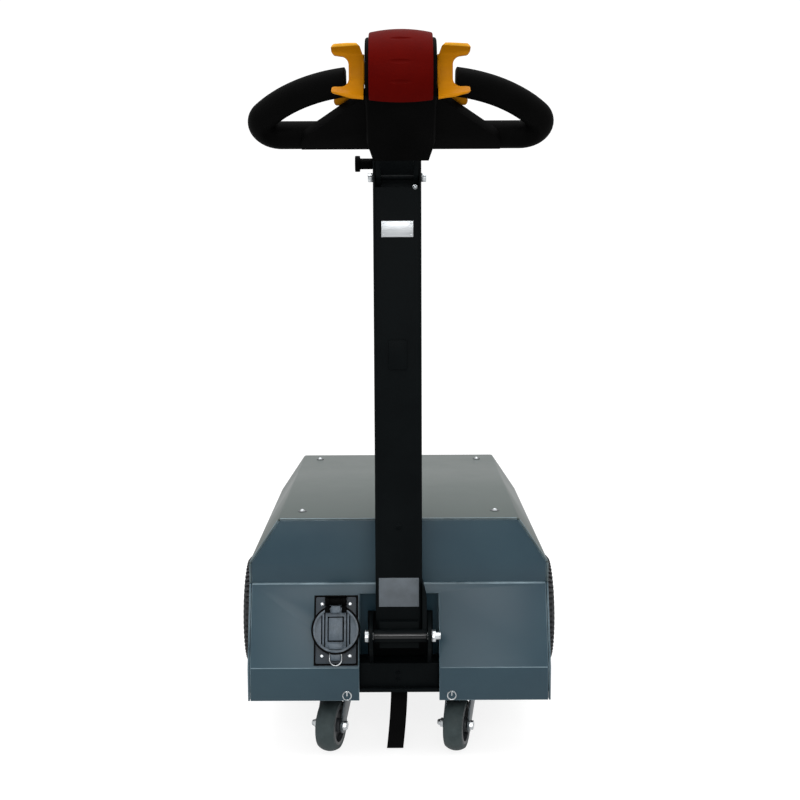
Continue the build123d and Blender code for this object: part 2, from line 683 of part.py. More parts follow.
def pivot_bolt():
    """Bolt through both ears, with its head on the left and its nut and tail on the right."""
    left = EAR_LEFT_X - BRACKET_PLATE
    right = EAR_RIGHT_X + BRACKET_PLATE
    bolt = rod_x(PIVOT_BOLT_RADIUS, (left, right + BOLT_HEAD_WIDTH + BOLT_TAIL), PIVOT_Y, PIVOT_Z)
    bolt += hexagon_x(BOLT_HEAD_RADIUS, (left - BOLT_HEAD_WIDTH, left), PIVOT_Y, PIVOT_Z)
    return bolt + hexagon_x(BOLT_HEAD_RADIUS, (right, right + BOLT_HEAD_WIDTH), PIVOT_Y, PIVOT_Z)


def tiller_stop():
    """Rubber bumper that the upright tiller rests against."""
    stop_z = (PIVOT_Z + BRACKET_TOP_Z) / 2
    return rod_y(STOP_RADIUS, 0, (TUBE_FRONT_Y + STOP_GAP, BRACKET_Y), stop_z)


def tiller_tube():
    """Rectangular tube, slotted at the top of its rear wall for the leaning neck."""
    outline = RectangleRounded(TUBE_WIDTH, TUBE_DEPTH, TUBE_CORNER)
    inside = RectangleRounded(
        TUBE_WIDTH - 2 * TUBE_WALL, TUBE_DEPTH - 2 * TUBE_WALL, TUBE_CORNER - TUBE_WALL
    )
    tube = Pos(0, TUBE_Y, 0) * along_z(outline - inside, (TUBE_FOOT_Z, TUBE_TOP_Z))
    half_slot = TUBE_WIDTH / 2 - TUBE_WALL
    slot_z = (HEAD_PIVOT_Z - TUBE_SLOT_DROP, TUBE_TOP_Z + TUBE_WALL)
    tube -= block((-half_slot, half_slot), (TUBE_REAR_Y - TUBE_WALL, TUBE_REAR_Y + TUBE_CORNER), slot_z)
    tube -= rod_x(HEAD_BOLT_RADIUS + RUNNING_GAP, (-TUBE_WIDTH, TUBE_WIDTH), TUBE_Y, HEAD_PIVOT_Z)
    plunger_z = HEAD_PIVOT_Z + INDEX_RADIUS
    return tube - rod_x(PLUNGER_PIN_RADIUS + RUNNING_GAP, (-TUBE_WIDTH, 0), TUBE_Y, plunger_z)


def tiller_foot():
    """Pivot barrel welded to the tube's rear wall, with a gusset on the tube's right side."""
    barrel_x = (EAR_LEFT_X + PIVOT_END_GAP, EAR_RIGHT_X - PIVOT_END_GAP)
    half_saddle = TUBE_WIDTH / 2 - TUBE_CORNER
    half_height = FOOT_SADDLE_HEIGHT / 2
    saddle_y = (TUBE_REAR_Y - PIVOT_BARREL_RADIUS / 2, TUBE_REAR_Y)
    foot = rod_x(PIVOT_BARREL_RADIUS, barrel_x, PIVOT_Y, PIVOT_Z)
    foot += block((-half_saddle, half_saddle), saddle_y, (PIVOT_Z - half_height, PIVOT_Z + half_height))
    gusset_x = TUBE_WIDTH / 2
    gusset_top = PIVOT_Z + GUSSET_RISE
    gusset = Polygon(
        (gusset_x, PIVOT_Z),
        (gusset_x + GUSSET_WIDTH, PIVOT_Z),
        (gusset_x + GUSSET_WIDTH, gusset_top),
        (gusset_x, gusset_top + GUSSET_CHAMFER),
        align=None,
    )
    foot += along_y(gusset, (PIVOT_Y, TUBE_FRONT_Y - TUBE_CORNER))
    return foot - rod_x(PIVOT_BOLT_RADIUS + RUNNING_GAP, (-TUBE_WIDTH, TUBE_WIDTH), PIVOT_Y, PIVOT_Z)


def head_bolt():
    """Bolt across the top of the tube, which the neck tilts on, with a nut at each end."""
    half = TUBE_WIDTH / 2
    bolt = rod_x(HEAD_BOLT_RADIUS, (-half - HEAD_NUT_WIDTH, half + HEAD_NUT_WIDTH), TUBE_Y, HEAD_PIVOT_Z)
    for nut in ((-half - HEAD_NUT_WIDTH, -half), (half, half + HEAD_NUT_WIDTH)):
        bolt += hexagon_x(HEAD_NUT_RADIUS, nut, TUBE_Y, HEAD_PIVOT_Z)
    return bolt


def index_plunger():
    """Pull knob on the tube's left wall, drawn back so that its pin clears the neck."""
    wall = -TUBE_WIDTH / 2
    stem_end = wall - PLUNGER_STEM_LENGTH
    plunger_z = HEAD_PIVOT_Z + INDEX_RADIUS
    plunger = rod_x(PLUNGER_STEM_RADIUS, (stem_end, wall), TUBE_Y, plunger_z)
    plunger += rod_x(PLUNGER_KNOB_RADIUS, (stem_end - PLUNGER_KNOB_WIDTH, stem_end), TUBE_Y, plunger_z)
    pin = (wall, -NECK_WIDTH / 2 - PLUNGER_PIN_GAP)
    return plunger + rod_x(PLUNGER_PIN_RADIUS, pin, TUBE_Y, plunger_z)


def neck_outline(clearance):
    """Side of the neck's straight bar, up into the housing."""
    half = NECK_DEPTH / 2 + clearance
    return frame_rectangle((-half, half), (0, NECK_LENGTH + clearance))


def neck():
    """Forked steel neck on the head bolt, with an index quadrant on its left cheek."""
    half = NECK_WIDTH / 2
    bar = neck_outline(0) + Circle(NECK_EYE_RADIUS)
    body = along_x(bar, (-half, half))
    sector = [(0, 0)]
    for turn in (-QUADRANT_HALF_ANGLE, 0, QUADRANT_HALF_ANGLE):
        angle = radians(HEAD_LEAN + turn)
        sector.append((2 * QUADRANT_RADIUS * sin(angle), 2 * QUADRANT_RADIUS * cos(angle)))
    quadrant = Circle(QUADRANT_RADIUS) & Polygon(*sector, align=None)
    body += along_x(quadrant, (-half, -half + NECK_CHEEK))
    inside = half - NECK_CHEEK
    body -= block((-inside, inside), (-NECK_LENGTH, NECK_LENGTH), (-NECK_LENGTH, NECK_FORK_LENGTH))
    body -= rod_x(HEAD_BOLT_RADIUS + RUNNING_GAP, (-NECK_WIDTH, NECK_WIDTH), 0, 0)
    for turn in (-INDEX_STEP_ANGLE, 0, INDEX_STEP_ANGLE):
        angle = radians(HEAD_LEAN + turn)
        hole_y = INDEX_RADIUS * sin(angle)
        hole_z = INDEX_RADIUS * cos(angle)
        body -= rod_x(INDEX_HOLE_RADIUS, (-NECK_WIDTH, 0), hole_y, hole_z)
    return NECK_PLACE * body


def nose_wedge(start, end):
    """A wide wedge about the nose's axis between two angles."""
    reach = 4 * NOSE_RADIUS
    corners = [(NOSE_Y, NOSE_Z)]
    for angle in (start, (start + end) / 2, end):
        corners.append((NOSE_Y + reach * cos(radians(angle)), NOSE_Z + reach * sin(radians(angle))))
    return Polygon(*corners, align=None)


def housing_body():
    """Moulded middle of the head: a tapered box that swells into a round nose."""
    half_base = HOUSING_BASE_DEPTH / 2
    half = HOUSING_WIDTH / 2
    side = Polygon(
        (-half_base, HOUSING_BASE_Z),
        (half_base, HOUSING_BASE_Z),
        (NOSE_Y + NOSE_RADIUS, NOSE_Z),
        (NOSE_Y - NOSE_RADIUS, NOSE_Z),
        align=None,
    )
    side += Pos(NOSE_Y, NOSE_Z) * Circle(NOSE_RADIUS)
    half_foot = HOUSING_BASE_WIDTH / 2
    taper_z = HOUSING_BASE_Z + HOUSING_TAPER
    top_z = NOSE_Z + 2 * NOSE_RADIUS
    front = Polygon(
        (-half_foot, HOUSING_BASE_Z),
        (half_foot, HOUSING_BASE_Z),
        (half, taper_z),
        (half, top_z),
        (-half, top_z),
        (-half, taper_z),
        align=None,
    )
    deep = 4 * NOSE_RADIUS
    body = along_x(side, (-half, half)) & along_y(front, (-deep, deep))
    rims = [edge for edge in body.edges() if abs(edge.center().X) > half - SWITCH_GAP]
    return fillet(rims, HOUSING_ROUND)


def grip_path(side):
    """Centre line of one hand loop: out along the base, round the turn and back in a long curve."""
    turn_z = GRIP_BASE_Z + GRIP_TURN_RADIUS
    along = cos(radians(GRIP_TURN_END))
    up = sin(radians(GRIP_TURN_END))
    turned = (GRIP_TURN_X + GRIP_TURN_RADIUS * along, turn_z + GRIP_TURN_RADIUS * up)
    centre = (turned[0] - GRIP_CURVE_RADIUS * along, turned[1] - GRIP_CURVE_RADIUS * up)

    def on_curve(x):
        return (side * x, GRIP_Y, centre[1] + sqrt(GRIP_CURVE_RADIUS ** 2 - (x - centre[0]) ** 2))

    start = (side * HOUSING_BASE_WIDTH / 4, GRIP_Y, GRIP_BASE_Z)
    foot = (side * GRIP_TURN_X, GRIP_Y, GRIP_BASE_Z)
    outermost = (side * (GRIP_TURN_X + GRIP_TURN_RADIUS), GRIP_Y, turn_z)
    top = (side * turned[0], GRIP_Y, turned[1])
    turn = ThreePointArc(foot, outermost, top)
    back = ThreePointArc(top, on_curve((turned[0] + GRIP_END_X) / 2), on_curve(GRIP_END_X))
    return Wire([Line(start, foot), turn, back])


def hand_loop(side):
    """One round hand loop with its flat wing towards the housing."""
    path = grip_path(side)
    loop = sweep(path.location_at(0) * Circle(GRIP_RADIUS), path=path)
    above_wing = (GRIP_BASE_Z + 2 * GRIP_RADIUS, 2 * NOSE_Z)
    loop -= block((-GRIP_END_X, GRIP_END_X), (-WING_TIP_X, WING_TIP_X), above_wing)
    inner = HOUSING_WIDTH / 4
    corners = [
        (inner, GRIP_BASE_Z),
        (WING_TIP_X, GRIP_BASE_Z),
        (WING_TIP_X, GRIP_BASE_Z + GRIP_RADIUS),
        (HOUSING_WIDTH / 2, WING_TOP_Z),
        (inner, WING_TOP_Z),
    ]
    wing = Polygon(*[(side * x, z) for x, z in corners], align=None)
    shoulder_z = GRIP_BASE_Z + GRIP_RADIUS / 2
    tips = [
        corner for corner in wing.vertices()
        if abs(corner.X) > HOUSING_WIDTH and corner.Y > shoulder_z
    ]
    return loop + along_y(fillet(tips, WING_ROUND), (WING_LOW_Y, WING_HIGH_Y))


def head_housing():
    """The moulded head: nose, hand loops and wings in one piece, recessed for the belly switch."""
    housing = housing_body()
    for side in (-1, 1):
        housing += hand_loop(side)
    floor_radius = SWITCH_RADIUS - SWITCH_THICKNESS - SWITCH_GAP
    recess = Pos(NOSE_Y, NOSE_Z) * (Circle(2 * NOSE_RADIUS) - Circle(floor_radius))
    recess = recess & nose_wedge(SWITCH_START - SWITCH_RECESS_ANGLE, SWITCH_END + SWITCH_RECESS_ANGLE)
    half = SWITCH_WIDTH / 2 + SWITCH_GAP
    housing -= along_x(recess, (-half, half))
    half_neck = NECK_WIDTH / 2 + SOCKET_GAP
    socket_x = (-half_neck - HEAD_OFFSET_X, half_neck - HEAD_OFFSET_X)
    return HEAD * (housing - along_x(neck_outline(SOCKET_GAP), socket_x))


def belly_switch():
    """Crowned red safety button over the nose, with three shallow lens-shaped grooves."""
    half = SWITCH_WIDTH / 2
    floor = SWITCH_RADIUS - SWITCH_THICKNESS
    shoulder = SWITCH_RADIUS - SWITCH_CROWN
    crown = ThreePointArc((-half, shoulder), (0, SWITCH_RADIUS), (half, shoulder))
    walls = Polyline((half, shoulder), (half, floor), (-half, floor), (-half, shoulder))
    section = make_face(Curve() + [crown, walls])
    rims = [corner for corner in section.vertices() if corner.Y > (floor + shoulder) / 2]
    button = Pos(0, NOSE_Y, NOSE_Z) * turned_x(fillet(rims, SWITCH_ROUND))
    button = button & along_x(nose_wedge(SWITCH_START, SWITCH_END), (-SWITCH_WIDTH, SWITCH_WIDTH))
    for angle, length in SWITCH_GROOVES:
        coin = (length ** 2 / 4 + SWITCH_GROOVE_DEPTH ** 2) / (2 * SWITCH_GROOVE_DEPTH)
        reach = SWITCH_RADIUS + coin - SWITCH_GROOVE_DEPTH
        groove = Cylinder(coin, SWITCH_GROOVE_WIDTH)
        groove = Pos(0, reach, 0) * fillet(groove.edges().filter_by(GeomType.CIRCLE), SWITCH_GROOVE_ROUND)
        button -= Pos(0, NOSE_Y, NOSE_Z) * Rot(angle, 0, 0) * groove
    return HEAD * button


def paddle_face(gap):
    """Outline of a saddle seen along the machine: a web with a round-ended tongue above and below."""
    inner = HOUSING_WIDTH / 2 + PADDLE_HUB_GAP
    face = frame_rectangle((inner, PADDLE_OUTER_X), (-PADDLE_HALF_HEIGHT, PADDLE_HALF_HEIGHT))
    face -= frame_rectangle((PADDLE_WEB_X, 2 * PADDLE_OUTER_X), (-gap, gap))
    middle = (PADDLE_WEB_X + PADDLE_OUTER_X) / 2
    face = fillet([corner for corner in face.vertices() if corner.X > middle], TONGUE_ROUND)
    roots = [corner for corner in face.vertices() if abs(corner.X - PADDLE_WEB_X) < RUNNING_GAP]
    return fillet(roots, TONGUE_ROOT_ROUND)


def paddle(side):
    """Butterfly speed control: a hub with a saddle on each side that ends in thumb tongues."""
    arc_centre = PADDLE_WEB_P + PADDLE_CURVE
    half = PADDLE_THICKNESS / 2
    band = Circle(PADDLE_CURVE + half) - Circle(PADDLE_CURVE - half)
    height = (-PADDLE_HALF_HEIGHT, PADDLE_HALF_HEIGHT)
    saddle = Pos(arc_centre, 0) * band & frame_rectangle((0, arc_centre), height)
    section = saddle + mirror(saddle, about=Plane.YZ)
    section += frame_rectangle((-PADDLE_WEB_P, PADDLE_WEB_P), (-PADDLE_HUB_RADIUS, PADDLE_HUB_RADIUS))
    hub_x = HOUSING_WIDTH / 2
    far = 2 * arc_centre
    faces = along_y(paddle_face(TONGUE_GAP_FRONT), (0, far))
    faces += along_y(paddle_face(TONGUE_GAP_REAR), (-far, 0))
    body = along_x(section, (hub_x + PADDLE_HUB_GAP, PADDLE_OUTER_X)) & faces
    body += rod_x(PADDLE_HUB_RADIUS, (hub_x, hub_x + PADDLE_HUB_GAP), 0, 0)
    body = Rot(-HEAD_LEAN, 0, 0) * Rot(0, 0, 180) * body
    if side > 0:
        body = mirror(body, about=Plane.YZ)
    return HEAD * Pos(0, NOSE_Y, NOSE_Z) * body


def socket_gasket():
    outline = Rectangle(PLATE_WIDTH + 2 * GASKET_MARGIN, PLATE_HEIGHT + 2 * GASKET_MARGIN)
    return SLOPE * extrude(outline - Circle(SOCKET_RADIUS), GASKET_THICKNESS)


def socket_plate():
    """Cover plate of the charging socket, on its gasket."""
    outline = RectangleRounded(PLATE_WIDTH, PLATE_HEIGHT, PLATE_THICKNESS) - Circle(SOCKET_RADIUS)
    return SLOPE * extrude(Pos(0, 0, GASKET_THICKNESS) * outline, PLATE_THICKNESS)


def socket_insert():
    """Round socket body that fills the plate's hole and reaches in behind the panel."""
    length = SOCKET_DEPTH + PLATE_TOP
    return SLOPE * Pos(0, 0, PLATE_TOP - length / 2) * Cylinder(SOCKET_RADIUS - SOCKET_FIT, length)


def lid_hinge():
    """Two hinge ears on the cover plate, joined by the pin that the lid turns on."""
    tab = LID_TAB_WIDTH / 2 + HINGE_EAR_GAP
    half_foot = HINGE_FOOT_DEPTH / 2
    ear = frame_rectangle((HINGE_UP - half_foot, HINGE_UP + half_foot), (PLATE_TOP, HINGE_OUT))
    ear += Pos(HINGE_UP, HINGE_OUT) * Circle(HINGE_EYE_RADIUS)
    hinge = rod_x(HINGE_PIN_RADIUS, (-tab - HINGE_EAR, tab + HINGE_EAR), HINGE_UP, HINGE_OUT)
    for ears in ((-tab - HINGE_EAR, -tab), (tab, tab + HINGE_EAR)):
        hinge += along_x(ear, ears)
    return SLOPE * hinge


def socket_lid():
    """Dished round lid with its hinge tab above and a finger tab below."""
    low = PLATE_TOP + LID_GAP
    half_tab = LID_TAB_WIDTH / 2
    lid = Pos(0, 0, low + LID_THICKNESS / 2) * Cylinder(LID_RADIUS, LID_THICKNESS)
    dish = Pos(0, 0, low + LID_THICKNESS) * Cylinder(LID_RADIUS - LID_RIM, 2 * LID_DISH)
    lid -= dish
    tab = frame_rectangle((LID_RADIUS - 2 * LID_RIM, HINGE_UP), (low, low + LID_THICKNESS))
    tab += Pos(HINGE_UP, HINGE_OUT) * Circle(HINGE_EYE_RADIUS - 1)
    lid += along_x(tab, (-half_tab, half_tab))
    half_latch = LID_LATCH_WIDTH / 2
    latch_y = (-LID_RADIUS - LID_LATCH_LENGTH, -LID_RADIUS + LID_RIM)
    lid += block((-half_latch, half_latch), latch_y, (low, low + LID_THICKNESS / 2))
    bore = (-LID_TAB_WIDTH, LID_TAB_WIDTH)
    return SLOPE * (lid - rod_x(HINGE_PIN_RADIUS + RUNNING_GAP, bore, HINGE_UP, HINGE_OUT))


def all_pieces():
    """Every piece by its node's name."""
    pieces = {
        "hood": hood(),
        "hood_rear_plate": end_plate(HOOD_REAR_Y, 1),
        "hood_front_plate": end_plate(HOOD_FRONT_Y, -1),
        "rear_panel": rear_panel(),
        "front_panel": front_panel(),
        "floor_plate": floor_plate(),
        "rear_beam": rear_beam(),
        "transaxle": transaxle(),
        "drive_motor": drive_motor(),
        "batteries": batteries(),
        "tow_jaw": tow_jaw(),
        "earth_strap": earth_strap(),
        "tiller_bracket": tiller_bracket(),
        "pivot_bolt": pivot_bolt(),
        "tiller_stop": tiller_stop(),
        "tiller_tube": tiller_tube(),
        "tiller_foot": tiller_foot(),
        "head_bolt": head_bolt(),
        "index_plunger": index_plunger(),
        "head_neck": neck(),
        "head_housing": head_housing(),
        "belly_switch": belly_switch(),
        "socket_gasket": socket_gasket(),
        "socket_plate": socket_plate(),
        "socket_insert": socket_insert(),
        "lid_hinge": lid_hinge(),
        "socket_lid": socket_lid(),
    }
    for name, side in (("left", -1), ("right", 1)):
        pieces[f"side_panel_{name}"] = side_panel(side)
        pieces[f"chassis_rail_{name}"] = chassis_rail(side)
        pieces[f"drive_tyre_{name}"] = drive_tyre(side)
        pieces[f"drive_rim_{name}"] = drive_rim(side)
        pieces[f"caster_plate_{name}"] = caster_plate(side)
        pieces[f"caster_fork_{name}"] = caster_fork(side)
        pieces[f"caster_tyre_{name}"] = caster_tyre(side)
        pieces[f"caster_centre_{name}"] = caster_centre(side)
        pieces[f"paddle_{name}"] = paddle(side)
    return pieces


os.makedirs("parts", exist_ok=True)
for node, piece in all_pieces().items():
    export_step(piece, f"parts/{node}.step")
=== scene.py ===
"""Walk-behind electric tow tractor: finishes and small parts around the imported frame."""

import json
from math import cos, pi, radians, sin

import bmesh
import bpy
from bpy.props import FloatProperty, FloatVectorProperty, IntProperty, PointerProperty, StringProperty
from mathutils import Matrix, Vector

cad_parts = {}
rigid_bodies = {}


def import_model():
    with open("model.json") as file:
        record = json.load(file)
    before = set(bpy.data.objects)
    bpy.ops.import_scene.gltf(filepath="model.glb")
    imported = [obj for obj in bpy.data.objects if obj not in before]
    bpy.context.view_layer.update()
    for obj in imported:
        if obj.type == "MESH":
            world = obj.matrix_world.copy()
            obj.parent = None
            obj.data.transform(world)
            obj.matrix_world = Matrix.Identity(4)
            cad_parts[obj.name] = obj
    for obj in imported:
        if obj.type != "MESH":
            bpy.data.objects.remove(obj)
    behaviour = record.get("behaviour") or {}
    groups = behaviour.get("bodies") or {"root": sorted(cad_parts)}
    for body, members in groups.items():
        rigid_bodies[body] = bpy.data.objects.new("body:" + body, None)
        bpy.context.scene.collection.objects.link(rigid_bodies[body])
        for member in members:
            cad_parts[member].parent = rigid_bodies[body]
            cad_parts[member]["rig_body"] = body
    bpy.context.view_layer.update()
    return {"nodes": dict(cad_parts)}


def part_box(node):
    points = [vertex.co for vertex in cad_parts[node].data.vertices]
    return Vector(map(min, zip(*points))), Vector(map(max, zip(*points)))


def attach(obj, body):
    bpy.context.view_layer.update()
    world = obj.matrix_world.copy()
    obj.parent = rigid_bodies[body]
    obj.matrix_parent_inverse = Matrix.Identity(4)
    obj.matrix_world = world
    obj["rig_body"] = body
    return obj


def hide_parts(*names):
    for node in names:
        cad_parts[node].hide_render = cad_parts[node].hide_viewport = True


bl_info = {
    "name": "Tow Tractor Dressing",
    "version": (1, 0, 0),
    "blender": (4, 5, 0),
    "location": "View3D > Sidebar > Tug",
    "description": "Finishes and small parts for a walk-behind electric tow tractor",
    "category": "Object",
}

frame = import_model()
MM = 0.001

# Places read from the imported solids
HOOD_LOW, HOOD_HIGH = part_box("hood")
TUBE_LOW, TUBE_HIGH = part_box("tiller_tube")
SKIRT_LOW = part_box("rear_panel")[0]
BOLT_LOW, BOLT_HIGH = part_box("pivot_bolt")
STRAP_LOW, STRAP_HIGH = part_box("earth_strap")
BEAM_LOW, BEAM_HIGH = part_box("rear_beam")
JAW_LOW, JAW_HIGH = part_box("tow_jaw")
FRONT_LOW, FRONT_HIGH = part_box("front_panel")
BATTERY_LOW, BATTERY_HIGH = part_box("batteries")
SIDES = (("left", -1), ("right", 1))

# Distances at which points are one, in a solid's triangles and round a spun ring, and the angles up to which
# faces are flat and edges smooth
MERGE = 0.02 * MM
WELD = 0.001 * MM
FLAT = radians(0.6)
SHARP = radians(35)

# How far the casters rest from straight, and along their axle: where the bright nut begins and ends
CASTER_TURN = radians(15)
NUT_FACE = 22.8 * MM
NUT_END = 28.4 * MM

# Faces this long and narrow lie along a fold or a sheet's edge and take a painted highlight. On the hood
# only its rear lip takes it
HIGHLIT_LENGTH = 12 * MM
HIGHLIT_WIDTH = 1.2 * MM
REAR_LIP = 3 * MM

# Screws of the hood, rings of the skirt
HOOD_SCREW_X = 164 * MM
SKIRT_RING_X = 86.5 * MM

# Paddles: upper inner corner, its peak, blunt tips, lower tongue, upper leaf and the web's operator side
CORNER_BACK = 2 * MM
CORNER_CUT = 6 * MM
CORNER_DROP = 19 * MM
PEAK_CUT = 3.5 * MM
TIP_TRIM = 6.5 * MM
TONGUE_TOP = 21 * MM
TONGUE_TAPER = 30 * MM
TONGUE_LIFT = 9 * MM
LEAF_FOOT = 21 * MM
LEAF_DROP = 3 * MM
LEAF_TIP = 10 * MM
LEAF_SHARE = 0.8
WEB_FACE = 23.5 * MM
RIB_IN = 2.2 * MM
RIB_UP = 4 * MM
RIB_SIZE = (3.2 * MM, 40 * MM, 5 * MM)

# Earthing strap: cuts along its length, the share that hangs free, its sway to one side and its bow
STRAP_CUTS = 12
STRAP_FREE = 0.82
STRAP_TAB = 12 * MM
STRAP_SWAY = 9 * MM
STRAP_BOW = 5 * MM

# Drive rims: circle of the wheel bolts, and the disc's face out from the middle
BOLT_CIRCLE = 34 * MM
DISC_FACE = 12 * MM

# Stage: half the floor's side, then the camera's sensor, lens, tilt down from level, roll and turn
FLOOR_HALF = 30.0
SENSOR_MM = 36.0
LENS_MM = 57.6
CAMERA_DOWN = radians(7.3)
CAMERA_ROLL = radians(0.25)
CAMERA_TURN = radians(-0.12)

# The rear panel's slope, which the charging socket sits on
SLOPE_BACK = 52 * MM
SLOPE_RISE = 130 * MM
SLOPE_LENGTH = (SLOPE_BACK ** 2 + SLOPE_RISE ** 2) ** 0.5
SLOPE_OUT = Vector((0, -SLOPE_RISE / SLOPE_LENGTH, SLOPE_BACK / SLOPE_LENGTH))
SLOPE_UP = Vector((0, SLOPE_BACK / SLOPE_LENGTH, SLOPE_RISE / SLOPE_LENGTH))
SOCKET_LOW, SOCKET_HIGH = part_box("socket_plate")
SOCKET_MIDDLE = (SOCKET_LOW + SOCKET_HIGH) / 2
PLATE_FACE = 1.5 * MM
LID_FACE = 8.5 * MM
LID_DISH = 5.5 * MM
KNUCKLE_UP = 38 * MM
BARREL_REACH = 16 * MM


# Finishes

def linear(code):
    """A linear colour from an sRGB hex code."""
    parts = [int(code[i:i + 2], 16) / 255 for i in (1, 3, 5)]
    return tuple(c / 12.92 if c <= 0.04045 else ((c + 0.055) / 1.055) ** 2.4 for c in parts) + (1.0,)


def add_node(tree, kind, values=None, links=None, **settings):
    """One node with its settings, socket values and incoming links."""
    node = tree.nodes.new(kind)
    for key, value in settings.items():
        setattr(node, key, value)
    for key, value in (values or {}).items():
        node.inputs[key].default_value = value
    for key, source in (links or {}).items():
        tree.links.new(source, node.inputs[key])
    return node


def surfaced(name, tones, patch_mm, grain_mm, grain_depth_mm, roughness, **sockets):
    """A finish whose tone drifts in patches over a fine grain, with both sizes in millimetres."""
    material = bpy.data.materials.get(name)
    if material:
        return material
    material = bpy.data.materials.new(name)
    material.use_nodes = True
    tree = material.node_tree
    shader = tree.nodes["Principled BSDF"]
    for key, value in sockets.items():
        shader.inputs[key.replace("_", " ")].default_value = value
    place = add_node(tree, "ShaderNodeTexCoord").outputs["Object"]
    patches = add_node(
        tree,
        "ShaderNodeTexNoise",
        {"Scale": 1000 / patch_mm, "Detail": 5.0, "Roughness": 0.62},
        {"Vector": place},
    )
    ramp = add_node(tree, "ShaderNodeValToRGB", None, {"Fac": patches.outputs["Fac"]})
    ramp.color_ramp.elements[0].position = 0.3
    ramp.color_ramp.elements[0].color = linear(tones[0])
    ramp.color_ramp.elements[1].position = 0.7
    ramp.color_ramp.elements[1].color = linear(tones[1])
    tree.links.new(ramp.outputs["Color"], shader.inputs["Base Color"])
    sheen = add_node(
        tree,
        "ShaderNodeMapRange",
        {"From Min": 0.3, "From Max": 0.7, "To Min": roughness[0], "To Max": roughness[1]},
        {"Value": patches.outputs["Fac"]},
    )
    tree.links.new(sheen.outputs["Result"], shader.inputs["Roughness"])
    grain = add_node(
        tree,
        "ShaderNodeTexNoise",
        {"Scale": 1000 / grain_mm, "Detail": 2.0, "Roughness": 0.5},
        {"Vector": place},
    )
    bump = add_node(
        tree,
        "ShaderNodeBump",
        {"Strength": 0.5, "Distance": grain_depth_mm * MM},
        {"Height": grain.outputs["Fac"]},
    )
    tree.links.new(bump.outputs["Normal"], shader.inputs["Normal"])
    return material


def slate_enamel():
    """Stove enamel on folded steel: satin blue-grey with a slight orange peel."""
    colours = bpy.context.scene.tug_colours
    return surfaced(
        "slate_enamel", (colours.enamel_dark_hex, colours.enamel_light_hex), 160, 3.0, 0.05, (0.34, 0.42),
        Specular_IOR_Level=0.25,
    )


def hood_enamel_painted_sheen():
    """The body's stove enamel painted greyer and paler on the hood: painted sheen for the light from above
    on its top. Satin with a slight orange peel.
    """
    return surfaced(
        "hood_enamel_painted_sheen", ("#373E3C", "#3D4442"), 160, 3.0, 0.05, (0.38, 0.46),
        Specular_IOR_Level=0.12,
    )


def edge_highlight_enamel():
    """The body enamel painted paler on folds and sheet edges: a painted highlight where the bends catch the
    light, drifting in patches.
    """
    return surfaced(
        "edge_highlight_enamel", ("#21353E", "#63757D"), 70, 2.0, 0.05, (0.3, 0.42),
        Specular_IOR_Level=0.4,
    )


def black_powder_coat():
    """Powder coat on steel: near black, finely pebbled, dull."""
    return surfaced(
        "black_powder_coat", ("#050708", "#080B0C"), 90, 1.4, 0.06, (0.42, 0.55),
        Specular_IOR_Level=0.02,
    )


def barrel_sheen_black():
    """Black enamel of the pivot barrel made glossier, a painted sheen: it goes only on the band of faces
    turned towards the lamps, so a highlight line shows there.
    """
    return surfaced(
        "barrel_sheen_black", ("#06080A", "#0A0C0D"), 30, 1.0, 0.02, (0.22, 0.28),
        Specular_IOR_Level=0.34,
    )


def moulded_black():
    """Moulded polyurethane skin: deep black with a leathery pebble."""
    return surfaced(
        "moulded_black", ("#030303", "#050505"), 70, 1.8, 0.12, (0.5, 0.62),
        Specular_IOR_Level=0.01,
    )


def red_abs():
    """Moulded ABS, dark signal red, lightly textured."""
    return surfaced(
        "red_abs", ("#3A0201", "#420301"), 60, 1.2, 0.05, (0.46, 0.56),
        Specular_IOR_Level=0.012,
    )


def yellow_abs():
    """Moulded ABS, warm signal yellow with a soft gloss."""
    return surfaced(
        "yellow_abs", ("#8C5702", "#965F03"), 45, 1.2, 0.04, (0.4, 0.5),
        Specular_IOR_Level=0.03,
    )


def tip_highlight_yellow():
    """The same ABS painted paler on the cut ends of the paddles' upper leaves: a painted highlight where the
    end rims catch the light.
    """
    return surfaced(
        "tip_highlight_yellow", ("#A97414", "#BE8A24"), 30, 1.2, 0.03, (0.32, 0.42),
        Specular_IOR_Level=0.1,
    )


def tyre_rubber():
    """Cured carbon-black rubber, dusty grey where it rolls."""
    return surfaced(
        "tyre_rubber", ("#17181A", "#2A2C2E"), 18, 1.5, 0.15, (0.72, 0.9),
        Specular_IOR_Level=0.3,
    )


def grey_caster_rubber():
    """Non-marking grey rubber, matt with a faint bloom."""
    return surfaced(
        "grey_caster_rubber", ("#252E2F", "#343D3E"), 22, 1.0, 0.06, (0.6, 0.75),
        Specular_IOR_Level=0.2,
    )


def zinc_plate():
    """Bright zinc plating on steel: soft metal gloss in faint cloudy patches."""
    return surfaced("zinc_plate", ("#8A8F92", "#CDD0D2"), 9, 0.9, 0.03, (0.22, 0.4), Metallic=1.0)


def shaded_zinc():
    """Zinc plating on the casters painted dark grey, painted shade for where they sit under the body; a
    little blotched.
    """
    return surfaced("shaded_zinc", ("#33393D", "#565C60"), 12, 0.9, 0.05, (0.34, 0.5), Metallic=0.8)


def cast_cover():
    """Dark grey lacquer on the socket's cast cover, fine sandy texture."""
    return surfaced(
        "cast_cover", ("#131A20", "#20282F"), 14, 0.8, 0.06, (0.42, 0.58),
        Specular_IOR_Level=0.25,
    )


def moulded_lid():
    """Moulded grey nylon of the socket's lid, satin and slightly streaked."""
    return surfaced(
        "moulded_lid", ("#2A333A", "#434D56"), 11, 0.8, 0.05, (0.34, 0.48),
        Specular_IOR_Level=0.3,
    )


